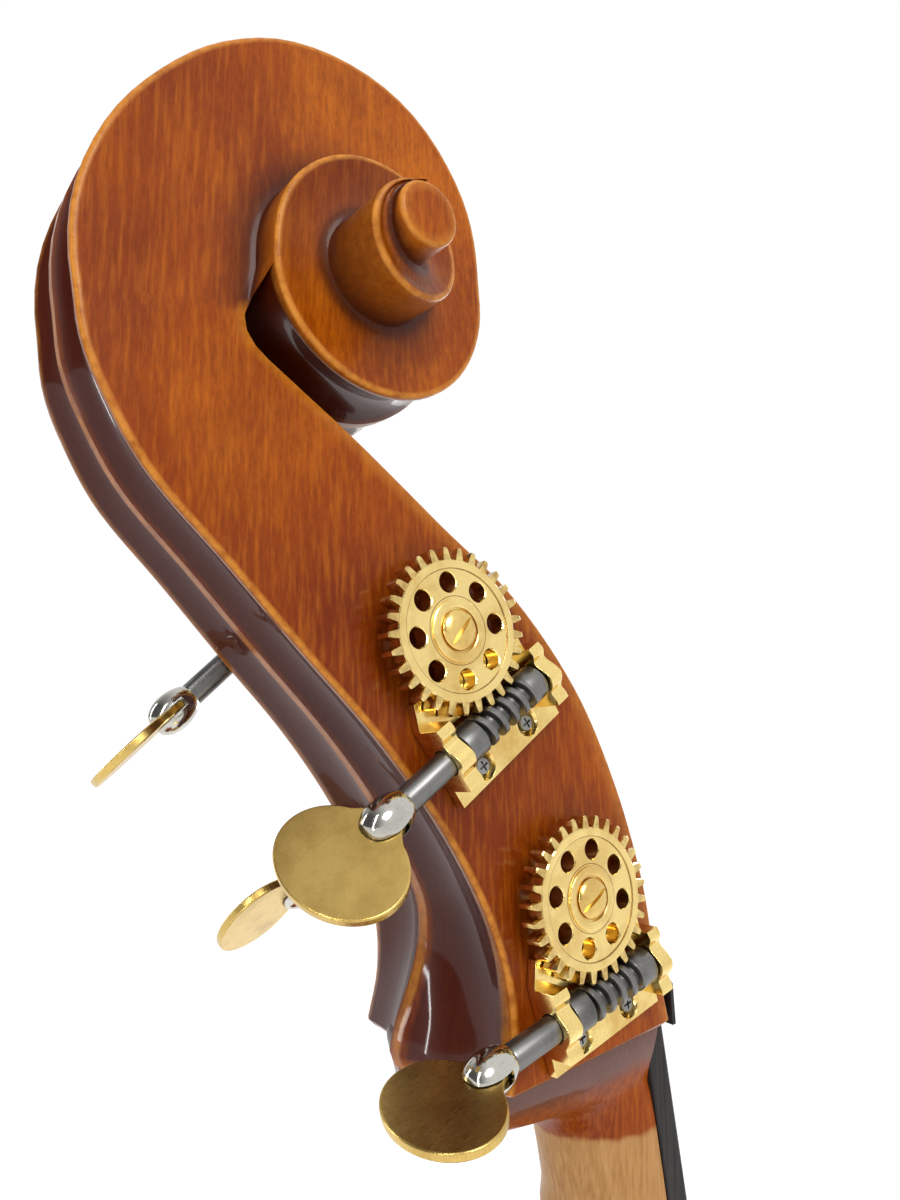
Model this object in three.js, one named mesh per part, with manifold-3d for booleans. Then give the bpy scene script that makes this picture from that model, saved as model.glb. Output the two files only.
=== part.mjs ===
// Double bass with a violin-cornered body and individual worm-gear tuning machines.
// Units are millimetres. +Z is up, the front of the instrument (strings) faces -Y and
// the bass side (E and A strings) is at -X. The origin is the tip of the endpin.

import * as THREE from 'three';
import { mergeVertices } from 'three/addons/utils/BufferGeometryUtils.js';
import Module from 'manifold-3d';

const wasm = await Module();
wasm.setup();

// ---------------------------------------------------------------- driving dimensions

const GAP = 0.3;                 // clearance kept between separate pieces

// Body
const BODY_BOTTOM = 110;         // height of the body's lower edge above the floor
const BODY_LENGTH = 1110;
const BODY_TOP = BODY_BOTTOM + BODY_LENGTH;
const RIB_FRONT = -100;          // plane where the top plate is glued to the ribs
const RIB_BACK = 100;            // plane of the back plate along the lower bouts
const RIB_BACK_AT_NECK = 65;     // the ribs get shallower towards the neck
const TAPER_START = 760;         // height above the body's lower edge where that begins
const RIB_INSET = 5;             // overhang of the plates beyond the ribs
const RIB_THICKNESS = 2.4;
const PLATE_EDGE = 6;            // thickness of both plates
const TOP_ARCH = 26;
const BACK_ARCH = 20;

// Neck and fingerboard
const HEAD_ORIGIN = [0, -71.6, 1656];      // pegbox ledge, front line of the cheeks
const HEAD_LEAN = THREE.MathUtils.degToRad(5.1);
const NECK_TILT = THREE.MathUtils.degToRad(9.5);
const BOARD_LENGTH = 860;
const BOARD_SIDE = 8.2;          // height of the fingerboard's side faces
const BOARD_CROWN = 3.2;         // rise of its middle at the nut
const NUT_HALF_WIDTH = 21.5;     // half width of the neck at the nut
const BOARD_HALF_END = 45;
const NECK_THICKNESS = 25;

// Head
const LEDGE_HALF_WIDTH = 34.5;
const CHEEK_SLOPE = 0.077;       // narrowing of each cheek per millimetre of height
const CHEEK_TILT = Math.atan(CHEEK_SLOPE);
const CHEEK_WALL = 11;
const EYE_CENTRE = [89.4, 216.4];
const EYE_RADIUS = 8.2;
const EYE_HEIGHT = 37;

// Tuning machines
const TEETH = 29;
const WHEEL_TIP_RADIUS = 22.1;
const WHEEL_ROOT_RADIUS = 18.9;
const WHEEL_BACK = 3.8;          // back face of the wheel above the cheek
const WHEEL_THICKNESS = 5.34;
const HOLE_CIRCLE = 12.9;        // eight round holes in the wheel
const HOLE_RADIUS = 2.7;
const CENTRE_DISTANCE = 25.8;
const WORM_PITCH = 4.55;
const WORM_TIP_RADIUS = 5.1;
const WORM_ROOT_RADIUS = 3.2;
const WORM_HEIGHT = WHEEL_BACK + WHEEL_THICKNESS / 2;
const WORM_SPAN = [-9.8, 10.4];  // spans along the worm run towards the key
const COLLAR_SPAN = [-15.9, 16.9];
const SHAFT_RADIUS = 3.55;
const JOURNAL_RADIUS = 3;
const PLATE_SPAN = [-21, 22.4];
const PLATE_OUTER = -39.6;       // edges of the plate beyond and under the worm
const PLATE_INNER = -9.5;
const PLATE_TOP = 3.3;
const WINDOW = [-31.2, -20.2];   // opening under the worm
const BRACKET_NEAR = [17.4, 22.4];
const BRACKET_FAR = [-21, -16.4];
const SCREW_PLACES = [[10.5, -35.1], [-9.2, -34.9]];
const SCREW_RADIUS = 1.4;
const SCREW_DEPTH = 8;
const FERRULE_SPAN = [38.35, 50.5];
const KEY_SLOT = 41;             // where the ferrule's slot begins
const KEY_CENTRE = 59.2;
const KEY_LENGTH = 13.4;         // half axes of the oval key, along and across the shaft
const KEY_WIDTH = 17.4;
const KEY_THICKNESS = 2.4;
const ROLLER_RADIUS = 9.5;
const AXLE_RADIUS = 5.4;

// side, wheel centre on the cheek, tilt of the worm below horizontal, key turn (degrees)
const MACHINES = {
  e: { side: -1, y: 35.4, z: 43.6, tilt: 9.8, key: 80 },
  a: { side: -1, y: 71.5, z: 118.6, tilt: 29.5, key: 52 },
  d: { side: 1, y: 105.5, z: 149.5, tilt: 39.5, key: 71 },
  g: { side: 1, y: 51.2, z: 82.5, tilt: 19.9, key: 46 },
};

// Strings, bridge and tailpiece
const STRINGS = {
  e: { nut: -15, bridge: -42, radius: 1.35 },
  a: { nut: -5, bridge: -14, radius: 1.0 },
  d: { nut: 5, bridge: 14, radius: 0.75 },
  g: { nut: 15, bridge: 42, radius: 0.6 },
};
const BRIDGE_Z = 612;
const BRIDGE_CREST = -271;       // depth of the bridge's crown
const BRIDGE_HALF_TOP = 50;
const TAILPIECE_LENGTH = 330;
const SADDLE_Y = -122;

// Endpin
const ROD_RADIUS = 5;
const ROD_TOP = 420;
const TIP_LENGTH = 26;

// ---------------------------------------------------------------- materials

const finish = (color, roughness, metalness = 0) =>
  new THREE.MeshStandardMaterial({ color, roughness, metalness });
const VARNISH = finish(0xa5551e, 0.28);
const SPRUCE = finish(0xb4692b, 0.3);
const BARE_MAPLE = finish(0xcda573, 0.55);
const RAW_SPRUCE = finish(0xd8b98a, 0.8);
const EBONY = finish(0x2a2626, 0.4);
const BRASS = finish(0xe1b95a, 0.2, 1);
const SATIN_BRASS = finish(0xbe9b50, 0.35, 1);
const STEEL = finish(0x6e6e6e, 0.35, 1);
const NICKEL = finish(0xb4b0a6, 0.12, 1);
const STRING_STEEL = finish(0x8c8c8e, 0.3, 1);
const ROLLER_WOOD = finish(0x2c2422, 0.5);
const RUBBER = finish(0x1c1c1c, 0.8);

// ---------------------------------------------------------------- mesh helpers

/** Closed indexed geometry from vertices and faces, turned so that it faces out. */
function closed(points, triangles) {
  const geometry = new THREE.BufferGeometry();
  geometry.setAttribute('position', new THREE.Float32BufferAttribute(points.flat(), 3));
  let volume = 0;
  const [a, b, c] = [new THREE.Vector3(), new THREE.Vector3(), new THREE.Vector3()];
  for (const [i, j, k] of triangles) {
    a.fromArray(points[i]);
    b.fromArray(points[j]);
    c.fromArray(points[k]);
    volume += a.dot(b.cross(c));
  }
  const facing = volume < 0 ? triangles.map(([i, j, k]) => [i, k, j]) : triangles;
  geometry.setIndex(facing.flat());
  return geometry;
}

/** Skin through rings that all have the same number of points, capped at both ends. */
function loft(rings) {
  const count = rings[0].length;
  const triangles = [];
  for (let r = 0; r + 1 < rings.length; r++) {
    for (let i = 0; i < count; i++) {
      const j = (i + 1) % count;
      const [p, q, s, t] = [r * count + i, r * count + j, (r + 1) * count + j, (r + 1) * count + i];
      triangles.push([p, q, s], [p, s, t]);
    }
  }
  const cap = (start, reverse) => {
    const flat = rings[start / count];
    const plane = flattened(flat);
    for (const [i, j, k] of THREE.ShapeUtils.triangulateShape(plane, [])) {
      const face = [start + i, start + j, start + k];
      const positive = THREE.ShapeUtils.area(plane) > 0;
      triangles.push(positive === reverse ? face.reverse() : face);
    }
  };
  cap(0, true);
  cap((rings.length - 1) * count, false);
  return closed(rings.flat(), triangles);
}

/** A planar ring seen along the axis that it faces most. */
function flattened(ring) {
  const normal = new THREE.Vector3();
  for (let i = 0; i < ring.length; i++) {
    const p = new THREE.Vector3(...ring[i]);
    normal.add(p.cross(new THREE.Vector3(...ring[(i + 1) % ring.length])));
  }
  const size = [Math.abs(normal.x), Math.abs(normal.y), Math.abs(normal.z)];
  const axis = size.indexOf(Math.max(...size));
  const [u, v] = [(axis + 1) % 3, (axis + 2) % 3];
  return ring.map((p) => new THREE.Vector2(p[u], p[v]));
}

function toSolid(geometry) {
  const bare = geometry.clone();
  bare.deleteAttribute('normal');
  bare.deleteAttribute('uv');
  const merged = mergeVertices(bare, 1e-4);
  return new wasm.Manifold(new wasm.Mesh({
    numProp: 3,
    vertProperties: new Float32Array(merged.attributes.position.array),
    triVerts: new Uint32Array(merged.index.array),
  }));
}

function toGeometry(solid) {
  const mesh = solid.getMesh();
  const geometry = new THREE.BufferGeometry();
  geometry.setAttribute('position', new THREE.Float32BufferAttribute(mesh.vertProperties, 3));
  geometry.setIndex(Array.from(mesh.triVerts));
  return geometry;
}

const join = (...parts) => parts.map(toSolid).reduce((sum, part) => sum.add(part));
const cut = (base, ...tools) =>
  toGeometry(tools.reduce((rest, tool) => rest.subtract(toSolid(tool)), toSolid(base)));

/** Extruded outline; the outline is a list of [x, y] points and the depth runs along +Z. */
function slab(outline, depth, holes = [], bevel = 0) {
  const shape = new THREE.Shape(outline.map((p) => new THREE.Vector2(...p)));
  shape.holes = holes.map((hole) => new THREE.Path(hole.map((p) => new THREE.Vector2(...p))));
  return new THREE.ExtrudeGeometry(shape, { depth, bevelEnabled: bevel > 0, bevelSize: bevel,
    bevelThickness: bevel, bevelSegments: 1, curveSegments: 8 });
}

const circle = (radius, count, cx = 0, cy = 0, from = 0) =>
  Array.from({ length: count }, (_, i) => {
    const angle = from + (i / count) * 2 * Math.PI;
    return [cx + radius * Math.cos(angle), cy + radius * Math.sin(angle)];
  });

/** Round bar along +Z from the first height to the second. */
function bar(radius, low, high, sides = 16) {
  return new THREE.CylinderGeometry(radius, radius, high - low, sides)
    .rotateX(Math.PI / 2).translate(0, 0, (low + high) / 2);
}

const block = (size, centre) => new THREE.BoxGeometry(...size).translate(...centre);

function spline(points, steps) {
  const curve = new THREE.CatmullRomCurve3(points.map(([x, y]) => new THREE.Vector3(x, y, 0)));
  return curve.getPoints(steps).map((p) => [p.x, p.y]);
}

const lerp = THREE.MathUtils.lerp;

/** Smooth value through [position, value] pairs. */
function through(pairs, at) {
  const last = pairs.length - 1;
  let i = pairs.findIndex((pair) => pair[0] > at) - 1;
  if (at <= pairs[0][0]) i = 0;
  if (at >= pairs[last][0]) i = last - 1;
  const [p0, p1, p2, p3] = [i - 1, i, i + 1, i + 2].map((k) => pairs[Math.min(Math.max(k, 0), last)]);
  const span = p2[0] - p1[0];
  const t = THREE.MathUtils.clamp((at - p1[0]) / span, 0, 1);
  const slopeIn = ((p2[1] - p0[1]) / Math.max(p2[0] - p0[0], 1e-6)) * span;
  const slopeOut = ((p3[1] - p1[1]) / Math.max(p3[0] - p1[0], 1e-6)) * span;
  const [t2, t3] = [t * t, t * t * t];
  return (2 * t3 - 3 * t2 + 1) * p1[1] + (t3 - 2 * t2 + t) * slopeIn
    + (3 * t2 - 2 * t3) * p2[1] + (t3 - t2) * slopeOut;
}

const instrument = new THREE.Group();

function place(name, geometry, material, parent = instrument) {
  const mesh = new THREE.Mesh(geometry, material);
  mesh.name = name;
  parent.add(mesh);
  return mesh;
}

// ---------------------------------------------------------------- body outline

// Each bout is a pair of cubic curves of [half width, height above the lower edge].
const bout = (...controls) => new THREE.CubicBezierCurve(...controls.map((p) => new THREE.Vector2(...p)));
const LOWER_BOUT = [
  bout([0, 0], [190, 0], [335, 92], [335, 262]),
  bout([335, 262], [335, 372], [244, 430], [270, 480]),
];
const CENTRE_BOUT = [
  bout([262, 492], [208, 506], [184, 550], [184, 604]),
  bout([184, 604], [184, 652], [196, 692], [232, 704]),
];
const UPPER_BOUT = [
  bout([239, 716], [222, 745], [259, 780], [259, 838]),
  bout([259, 838], [259, 955], [52, 990], [34, 1110]),
];

const OUTLINE_STEPS = 5;

/** Points along a bout, which may start and stop a little short of its corners. */
function sample([lower, upper], start = 0, stop = 1) {
  const points = [];
  for (let i = 0; i < OUTLINE_STEPS; i++) points.push(lower.getPoint(lerp(start, 1, i / OUTLINE_STEPS)));
  for (let i = 0; i <= OUTLINE_STEPS; i++) points.push(upper.getPoint(lerp(0, stop, i / OUTLINE_STEPS)));
  return points.map((p) => [p.x, p.y]);
}

/** Half outline from the bottom centre to the top edge, corners included. */
const halfOutline = () => [LOWER_BOUT, CENTRE_BOUT, UPPER_BOUT].flatMap((curves) => sample(curves));

const backPlane = (height) => {
  const t = Math.max(0, (height - TAPER_START) / (BODY_LENGTH - TAPER_START));
  return lerp(RIB_BACK, RIB_BACK_AT_NECK, t);
};

/** Half width of the body at a height above its lower edge, ignoring the corner tips. */
const FAIR_WIDTH = [[0, 60], [60, 245], [150, 318], [262, 335], [380, 292], [480, 220], [604, 184],
  [716, 212], [838, 259], [940, 212], [1020, 112], [1110, 42]];

/** Rise of an arched plate above its edge, from 0 at the edge to 1 in the middle. */
function arching(x, height) {
  const across = Math.min(Math.abs(x) / (through(FAIR_WIDTH, height) - 6), 1);
  const along = Math.min(Math.abs(height - BODY_LENGTH / 2) / (BODY_LENGTH / 2 - 4), 1);
  return Math.pow(1 - across * across, 1.3) * Math.pow(1 - Math.pow(along, 3.2), 0.9);
}

/** Offset of a sampled curve to its left or right. */
function offset(points, distance) {
  return points.map((p, i) => {
    const before = points[Math.max(i - 1, 0)];
    const after = points[Math.min(i + 1, points.length - 1)];
    const tangent = new THREE.Vector2(after[0] - before[0], after[1] - before[1]).normalize();
    return [p[0] - tangent.y * distance, p[1] + tangent.x * distance];
  });
}

// ---------------------------------------------------------------- plates

/** Arched plate: rows of points across the outline, on an outer and an inner surface. */
function archedPlate(depthAt) {
  const rows = halfOutline();
  const columns = 10;
  const points = [];
  for (const layer of [0, 1]) {
    for (const [half, height] of rows) {
      const width = Math.max(half, 0.6);
      for (let c = 0; c <= columns; c++) {
        const across = Math.sin(((c / columns) * 2 - 1) * (Math.PI / 2) * 0.82) / Math.sin(Math.PI * 0.41);
        const x = across * width;
        points.push([x, depthAt(x, height, layer), BODY_BOTTOM + height]);
      }
    }
  }
  const stride = columns + 1;
  const size = rows.length * stride;
  const triangles = [];
  const quad = (p, q, r, s) => triangles.push([p, q, r], [p, r, s]);
  for (let r = 0; r + 1 < rows.length; r++) {
    for (let c = 0; c < columns; c++) {
      const p = r * stride + c;
      quad(p, p + 1, p + stride + 1, p + stride);
      quad(size + p, size + p + stride, size + p + stride + 1, size + p + 1);
    }
    const [left, right] = [r * stride, r * stride + columns];
    quad(left, left + stride, size + left + stride, size + left);
    quad(right, size + right, size + right + stride, right + stride);
  }
  for (const r of [0, rows.length - 1]) {
    for (let c = 0; c < columns; c++) {
      const p = r * stride + c;
      const face = [p, size + p, size + p + 1, p + 1];
      quad(...(r ? face.reverse() : face));
    }
  }
  return closed(points, triangles);
}

const topOuter = (x, height) => RIB_FRONT - GAP - PLATE_EDGE - TOP_ARCH * arching(x, height);
const topInner = (x, height) => RIB_FRONT - GAP - TOP_ARCH * arching(x, height);
const backOuter = (x, height) => backPlane(height) + GAP + PLATE_EDGE + BACK_ARCH * arching(x, height);
const backInner = (x, height) => backPlane(height) + GAP + BACK_ARCH * arching(x, height);

/** S-shaped sound hole as a cutter that runs through the top plate. */
function soundHole(side) {
  const middle = spline([[92, 672], [84, 640], [104, 596], [126, 556], [118, 520]], 14);
  const widths = [[0, 3.5], [0.5, 8], [1, 4]];
  const at = (i) => through(widths, i / 14);
  const left = middle.map((p, i) => offset(middle, at(i) / 2)[i]);
  const right = middle.map((p, i) => offset(middle, -at(i) / 2)[i]);
  const mirror = (points) => points.map(([x, y]) => [side * x, y]);
  const pierce = (points) => slab(mirror(points), 80).rotateX(Math.PI / 2)
    .translate(0, RIB_FRONT + 30, BODY_BOTTOM);
  const slot = [...left, ...right.reverse()];
  const notch = [[99, 594], [104, 592], [110, 599], [104, 602]];
  return [pierce(slot), pierce(circle(10.5, 12, 101, 672)), pierce(circle(13, 12, 106, 520)),
    pierce(notch)].map(fixed);
}

/** Geometry turned inside out by a mirrored outline is turned back. */
function fixed(geometry) {
  const merged = mergeVertices(stripped(geometry), 1e-4);
  const position = merged.attributes.position;
  const points = Array.from({ length: position.count },
    (_, i) => [position.getX(i), position.getY(i), position.getZ(i)]);
  const index = Array.from(merged.index.array);
  const triangles = [];
  for (let i = 0; i < index.length; i += 3) triangles.push(index.slice(i, i + 3));
  return closed(points, triangles);
}

function stripped(geometry) {
  const bare = geometry.clone();
  bare.deleteAttribute('normal');
  bare.deleteAttribute('uv');
  return bare;
}

const topBlank = archedPlate((x, height, layer) => (layer ? topInner : topOuter)(x, height));
place('top_plate', cut(topBlank, ...soundHole(-1), ...soundHole(1)), SPRUCE);
place('back_plate', archedPlate((x, height, layer) => (layer ? backOuter : backInner)(x, height)), VARNISH);

// ---------------------------------------------------------------- ribs, blocks, bar, post

function rib(curves, side, start = 0, stop = 1) {
  const line = sample(curves, start, stop);
  const out = offset(line, RIB_INSET);
  const inn = offset(line, RIB_INSET + RIB_THICKNESS);
  const rings = out.map((p, i) => {
    const [x, z] = [Math.max(p[0], GAP / 2), p[1]];
    const [xi, zi] = [Math.max(inn[i][0], GAP / 2), inn[i][1]];
    return [
      [side * x, RIB_FRONT + GAP / 2, BODY_BOTTOM + z],
      [side * x, backPlane(z) - GAP / 2, BODY_BOTTOM + z],
      [side * xi, backPlane(zi) - GAP / 2, BODY_BOTTOM + zi],
      [side * xi, RIB_FRONT + GAP / 2, BODY_BOTTOM + zi],
    ];
  });
  return loft(rings);
}

const cornerBlock = (points, side) => {
  const depth = RIB_BACK - RIB_FRONT - 2 * GAP;
  return fixed(slab(points.map(([x, z]) => [side * x, z]), depth)
    .rotateX(Math.PI / 2).translate(0, RIB_BACK - GAP, BODY_BOTTOM));
};

const socketBore = bar(17 + GAP, BODY_BOTTOM - 40, BODY_BOTTOM + 80, 20);

for (const [label, side] of [['bass', -1], ['treble', 1]]) {
  place(`rib_lower_${label}`, cut(rib(LOWER_BOUT, side, 0, 0.985), socketBore), VARNISH);
  place(`rib_centre_${label}`, rib(CENTRE_BOUT, side, 0.03, 0.97), VARNISH);
  place(`rib_upper_${label}`, rib(UPPER_BOUT, side, 0.02, 1), VARNISH);
  place(`corner_block_lower_${label}`,
    cornerBlock([[246, 481], [236, 456], [190, 478], [200, 508]], side), RAW_SPRUCE);
  place(`corner_block_upper_${label}`,
    cornerBlock([[219, 710], [216, 738], [180, 722], [174, 684]], side), RAW_SPRUCE);
}

// The top block closes the gap between the upper ribs, flush with the body's top edge.
const topBlockDepth = RIB_BACK_AT_NECK - RIB_FRONT - 1;
place('top_block', block([51, topBlockDepth, 46],
  [0, RIB_FRONT + 0.5 + topBlockDepth / 2, BODY_TOP - 23]), VARNISH);

const bottomBlank = block([110, RIB_BACK - RIB_FRONT - 2, 46], [0, 0, BODY_BOTTOM + 37]);
place('bottom_block', cut(bottomBlank, socketBore), RAW_SPRUCE);

const barRings = Array.from({ length: 13 }, (_, i) => {
  const height = lerp(190, 980, i / 12);
  const deep = 4 + 26 * Math.sin((i / 12) * Math.PI);
  const section = [[-72, 0], [-52, 0], [-54, deep], [-70, deep]];
  return section.map(([x, d]) => [x, topInner(x, height) + 1.2 + d, BODY_BOTTOM + height]);
});
place('bass_bar', loft(barRings), RAW_SPRUCE);

const POST = [62, 478];
place('sound_post', bar(9, topInner(POST[0], POST[1]) + 1.5, backInner(POST[0], POST[1]) - 1.5, 12)
  .rotateX(-Math.PI / 2).translate(POST[0], 0, BODY_BOTTOM + POST[1]), RAW_SPRUCE);

// ---------------------------------------------------------------- head

const head = new THREE.Group();
head.position.set(...HEAD_ORIGIN);
head.rotation.x = -HEAD_LEAN;
instrument.add(head);

// Half width of the head; the cheeks narrow up to the throat, and more slowly above it.
const THROAT_Z = 200;
const cheekHalf = (z) => LEDGE_HALF_WIDTH - CHEEK_SLOPE * THREE.MathUtils.clamp(z, 0, THROAT_Z)
  - 0.045 * Math.max(z - THROAT_Z, 0);

// Radius of the volute's edge and its height above the cheek, by angle in degrees.
const VOLUTE_RADIUS = [[-15, 73], [0, 70.3], [19, 66.4], [40, 63.8], [60, 64.3], [80, 65.8], [100, 65.4],
  [115, 62.8], [137, 55.2], [168, 44.4], [190, 42], [222, 39.5], [255, 36.6], [285, 33.5], [315, 30.8],
  [345, 28.3], [360, 27], [450, 26.5], [540, 21], [630, 16], [720, 12.7], [810, 9]];
const VOLUTE_HEIGHT = [[90, 0], [180, 4.5], [270, 8.5], [360, 11.4], [450, 15], [540, 20], [630, 28],
  [720, 33], [810, 36]];

function volutePoint(degrees, radius = through(VOLUTE_RADIUS, degrees)) {
  const angle = THREE.MathUtils.degToRad(degrees);
  return [EYE_CENTRE[0] + radius * Math.cos(angle), EYE_CENTRE[1] + radius * Math.sin(angle)];
}

const BACK_EDGE = [[64, 0], [61, 28], [72, 60], [93, 92], [122, 127], [146, 157], [158, 186]];
const FRONT_EDGE = [[0, 0], [3, 38], [10, 71], [22, 100], [42, 128], [66, 149], [91, 170], [109, 184],
  [119.5, 194.5]];

const arc = (from, to, step) =>
  Array.from({ length: Math.round((to - from) / step) + 1 }, (_, i) => volutePoint(from + i * step));

/** Side view of the head: up the back, over the volute, into the throat and down the front. */
const headOutline = [
  ...spline(BACK_EDGE, 14),
  ...arc(0, 345, 15),
  [119.5, 203],
  ...spline(FRONT_EDGE, 16).reverse(),
];

/** Solid between the cheeks from an outline of [y, z] points, wedge-shaped like the head. */
function wedge(outline, inset, sides = [-1, 1]) {
  const rings = sides.map((side) =>
    outline.map(([y, z]) => [side * (cheekHalf(z) - inset), y, z]));
  return loftFlat(rings, outline);
}

/** Two matching rings joined into a closed plate, with the caps cut from the flat outline. */
function loftFlat(rings, outline) {
  const count = outline.length;
  const triangles = [];
  for (let i = 0; i < count; i++) {
    const j = (i + 1) % count;
    triangles.push([i, j, count + j], [i, count + j, count + i]);
  }
  const flat = outline.map((p) => new THREE.Vector2(...p));
  const upright = THREE.ShapeUtils.area(flat) > 0;
  for (const [i, j, k] of THREE.ShapeUtils.triangulateShape(flat, [])) {
    const face = upright ? [i, k, j] : [i, j, k];
    triangles.push(face, face.map((n) => n + count).reverse());
  }
  const geometry = closed(rings.flat(), triangles);
  return geometry;
}

/** Raised part of the volute on one side, as overlapping sectors of a climbing ramp. */
function voluteSide(side) {
  const lift = (y, z, h) => [side * (cheekHalf(z) + h), y, z];
  const sectors = [];
  for (let start = 95; start < 815; start += 90) {
    const rings = [];
    const end = start + 91;
    for (let i = 0; i <= 4; i++) {
      const degrees = lerp(start, end, i / 4);
      const radius = through(VOLUTE_RADIUS, degrees);
      const height = through(VOLUTE_HEIGHT, degrees);
      const inner = Math.min(4, radius - 3);
      rings.push([
        lift(...volutePoint(degrees, inner), -6),
        lift(...volutePoint(degrees, radius - 0.4), -6),
        lift(...volutePoint(degrees, radius), height),
        lift(...volutePoint(degrees, inner), height),
      ]);
    }
    sectors.push(loft(rings));
  }
  const low = circle(EYE_RADIUS, 16, ...EYE_CENTRE).map(([y, z]) => lift(y, z, -6));
  const high = circle(EYE_RADIUS, 16, ...EYE_CENTRE).map(([y, z]) => lift(y, z, EYE_HEIGHT));
  sectors.push(loft([low, high]));
  return sectors;
}

/** Neck sections: front face on the fingerboard's glue line, round towards the back. */
const glueLine = (z) => -2 + CHEEK_SLOPE * z;
function neckSection(z, half, depth, squareness, lift = 0) {
  const ring = [];
  const front = glueLine(z);
  for (let i = 0; i <= 12; i++) {
    const angle = (i / 12) * Math.PI;
    const [c, s] = [Math.cos(angle), Math.sin(angle)];
    ring.push([half * Math.sign(c) * Math.abs(c) ** squareness, front + depth * s ** squareness, z + lift]);
  }
  return ring;
}

const CHIN = [[0.5, 27, 74], [-8, 26, 77], [-16, 25, 76], [-21, 24, 71], [-23, 23, 60], [-24, 22.5, 46],
  [-28, 22, 34], [-34, 21.6, 28], [-46, 22, NECK_THICKNESS + 1.5], [-60, 22.3, NECK_THICKNESS + 0.5]];
const neckHalf = (z) => lerp(NUT_HALF_WIDTH, BOARD_HALF_END, -z / BOARD_LENGTH);
const HEEL_TOP_Z = -330;
const HEEL_BOTTOM_Z = -448;
const neckRings = CHIN.map(([z, half, depth]) => neckSection(z, half, depth, 0.85));
for (const z of [-120, -190, -260, -300]) {
  neckRings.push(neckSection(z, neckHalf(z) - 0.5, lerp(NECK_THICKNESS, 33, -z / 330), 0.85));
}
const HEEL = [[0, 34], [0.15, 39], [0.3, 54], [0.45, 84], [0.6, 128], [0.72, 178], [0.8, 212], [1, 262]];
for (const [t, depth] of HEEL) {
  const z = lerp(HEEL_TOP_Z, HEEL_BOTTOM_Z, t);
  neckRings.push(neckSection(z, neckHalf(z) - 0.5 - 4 * t, depth, lerp(0.85, 0.7, t)));
}

const headBlank = [wedge(headOutline, 0), ...voluteSide(-1), ...voluteSide(1), loft(neckRings)];
const cavity = [
  ...spline([[50, 14], [52, 36], [59, 62], [80, 94], [105, 126], [125, 152]], 8),
  [126, 168], [112, 178], ...spline([[100, 178], [60, 160], [20, 120], [-14, 60], [-12, 14]], 6),
];

/** Frame of a machine: x along the worm, y from worm to wheel, z out of the cheek. */
function machineFrame({ side, y, z, tilt }) {
  const angle = THREE.MathUtils.degToRad(tilt);
  const up = new THREE.Vector3(-side * Math.sin(CHEEK_TILT), 0, Math.cos(CHEEK_TILT));
  const out = new THREE.Vector3(side * Math.cos(CHEEK_TILT), 0, Math.sin(CHEEK_TILT));
  const back = new THREE.Vector3(0, 1, 0);
  const across = back.clone().multiplyScalar(Math.sin(angle)).addScaledVector(up, Math.cos(angle));
  const along = across.clone().cross(out);
  const origin = new THREE.Vector3(side * LEDGE_HALF_WIDTH, y, 0).addScaledVector(up, z);
  return new THREE.Matrix4().makeBasis(along, across, out).setPosition(origin);
}

const rollerLength = (z) => 2 * (cheekHalf(z) - CHEEK_WALL) - 2 * GAP;

/** Bores for the roller axle: right through its own cheek and blind in the other. */
function rollerBore(machine) {
  const inner = -CHEEK_WALL - rollerLength(machine.z);
  return bar(AXLE_RADIUS + GAP, inner - 8, 4).applyMatrix4(machineFrame(machine));
}

let headSolid = headBlank.map(toSolid).reduce((sum, part) => sum.add(part));
headSolid = headSolid.subtract(toSolid(wedge(cavity, CHEEK_WALL)));
for (const machine of Object.values(MACHINES)) {
  headSolid = headSolid.subtract(toSolid(rollerBore(machine)));
  for (const [x, y] of SCREW_PLACES) {
    const pilot = bar(SCREW_RADIUS + GAP, -SCREW_DEPTH - GAP, 3, 8).translate(machine.side * x, y, 0);
    headSolid = headSolid.subtract(toSolid(pilot.applyMatrix4(machineFrame(machine))));
  }
}
// The heel ends on the body's top edge.
head.updateMatrix();
const underHeel = block([200, 600, 200], [0, 0, BODY_TOP + GAP - 100])
  .applyMatrix4(head.matrix.clone().invert());
place('neck_and_scroll', toGeometry(headSolid.subtract(toSolid(underHeel))), VARNISH, head);

// ---------------------------------------------------------------- nut and fingerboard

const crown = (x, z) => {
  const half = neckHalf(z);
  return BOARD_SIDE + (BOARD_CROWN + (9 * -z) / BOARD_LENGTH) * (1 - (x / half) ** 2);
};

const BOARD_TOP_Z = -3;
const boardRings = [0, 0.2, 0.4, 0.6, 0.8, 1].map((t) => {
  const z = BOARD_TOP_Z - t * (BOARD_LENGTH - 10);
  const half = neckHalf(z);
  const ring = [[-half, glueLine(z) - GAP, z], [half, glueLine(z) - GAP, z]];
  for (let i = 0; i <= 10; i++) {
    const x = lerp(half, -half, i / 10);
    ring.push([x, glueLine(z) - GAP - crown(x, z), z]);
  }
  return ring;
});
place('fingerboard', loft(boardRings), EBONY, head);

const NUT_BASE = -2.4;
const nutFront = (x) => -16 + (x * x) / 92;
const nutProfile = [[-LEDGE_HALF_WIDTH + 1, NUT_BASE], [LEDGE_HALF_WIDTH - 1, NUT_BASE]];
for (let i = 0; i <= 14; i++) {
  const x = lerp(LEDGE_HALF_WIDTH - 1, -LEDGE_HALF_WIDTH + 1, i / 14);
  nutProfile.push([x, nutFront(x)]);
}
place('nut', slab(nutProfile, 12).translate(0, 0, BOARD_TOP_Z + GAP), EBONY, head);

// ---------------------------------------------------------------- tuning machines

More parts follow.
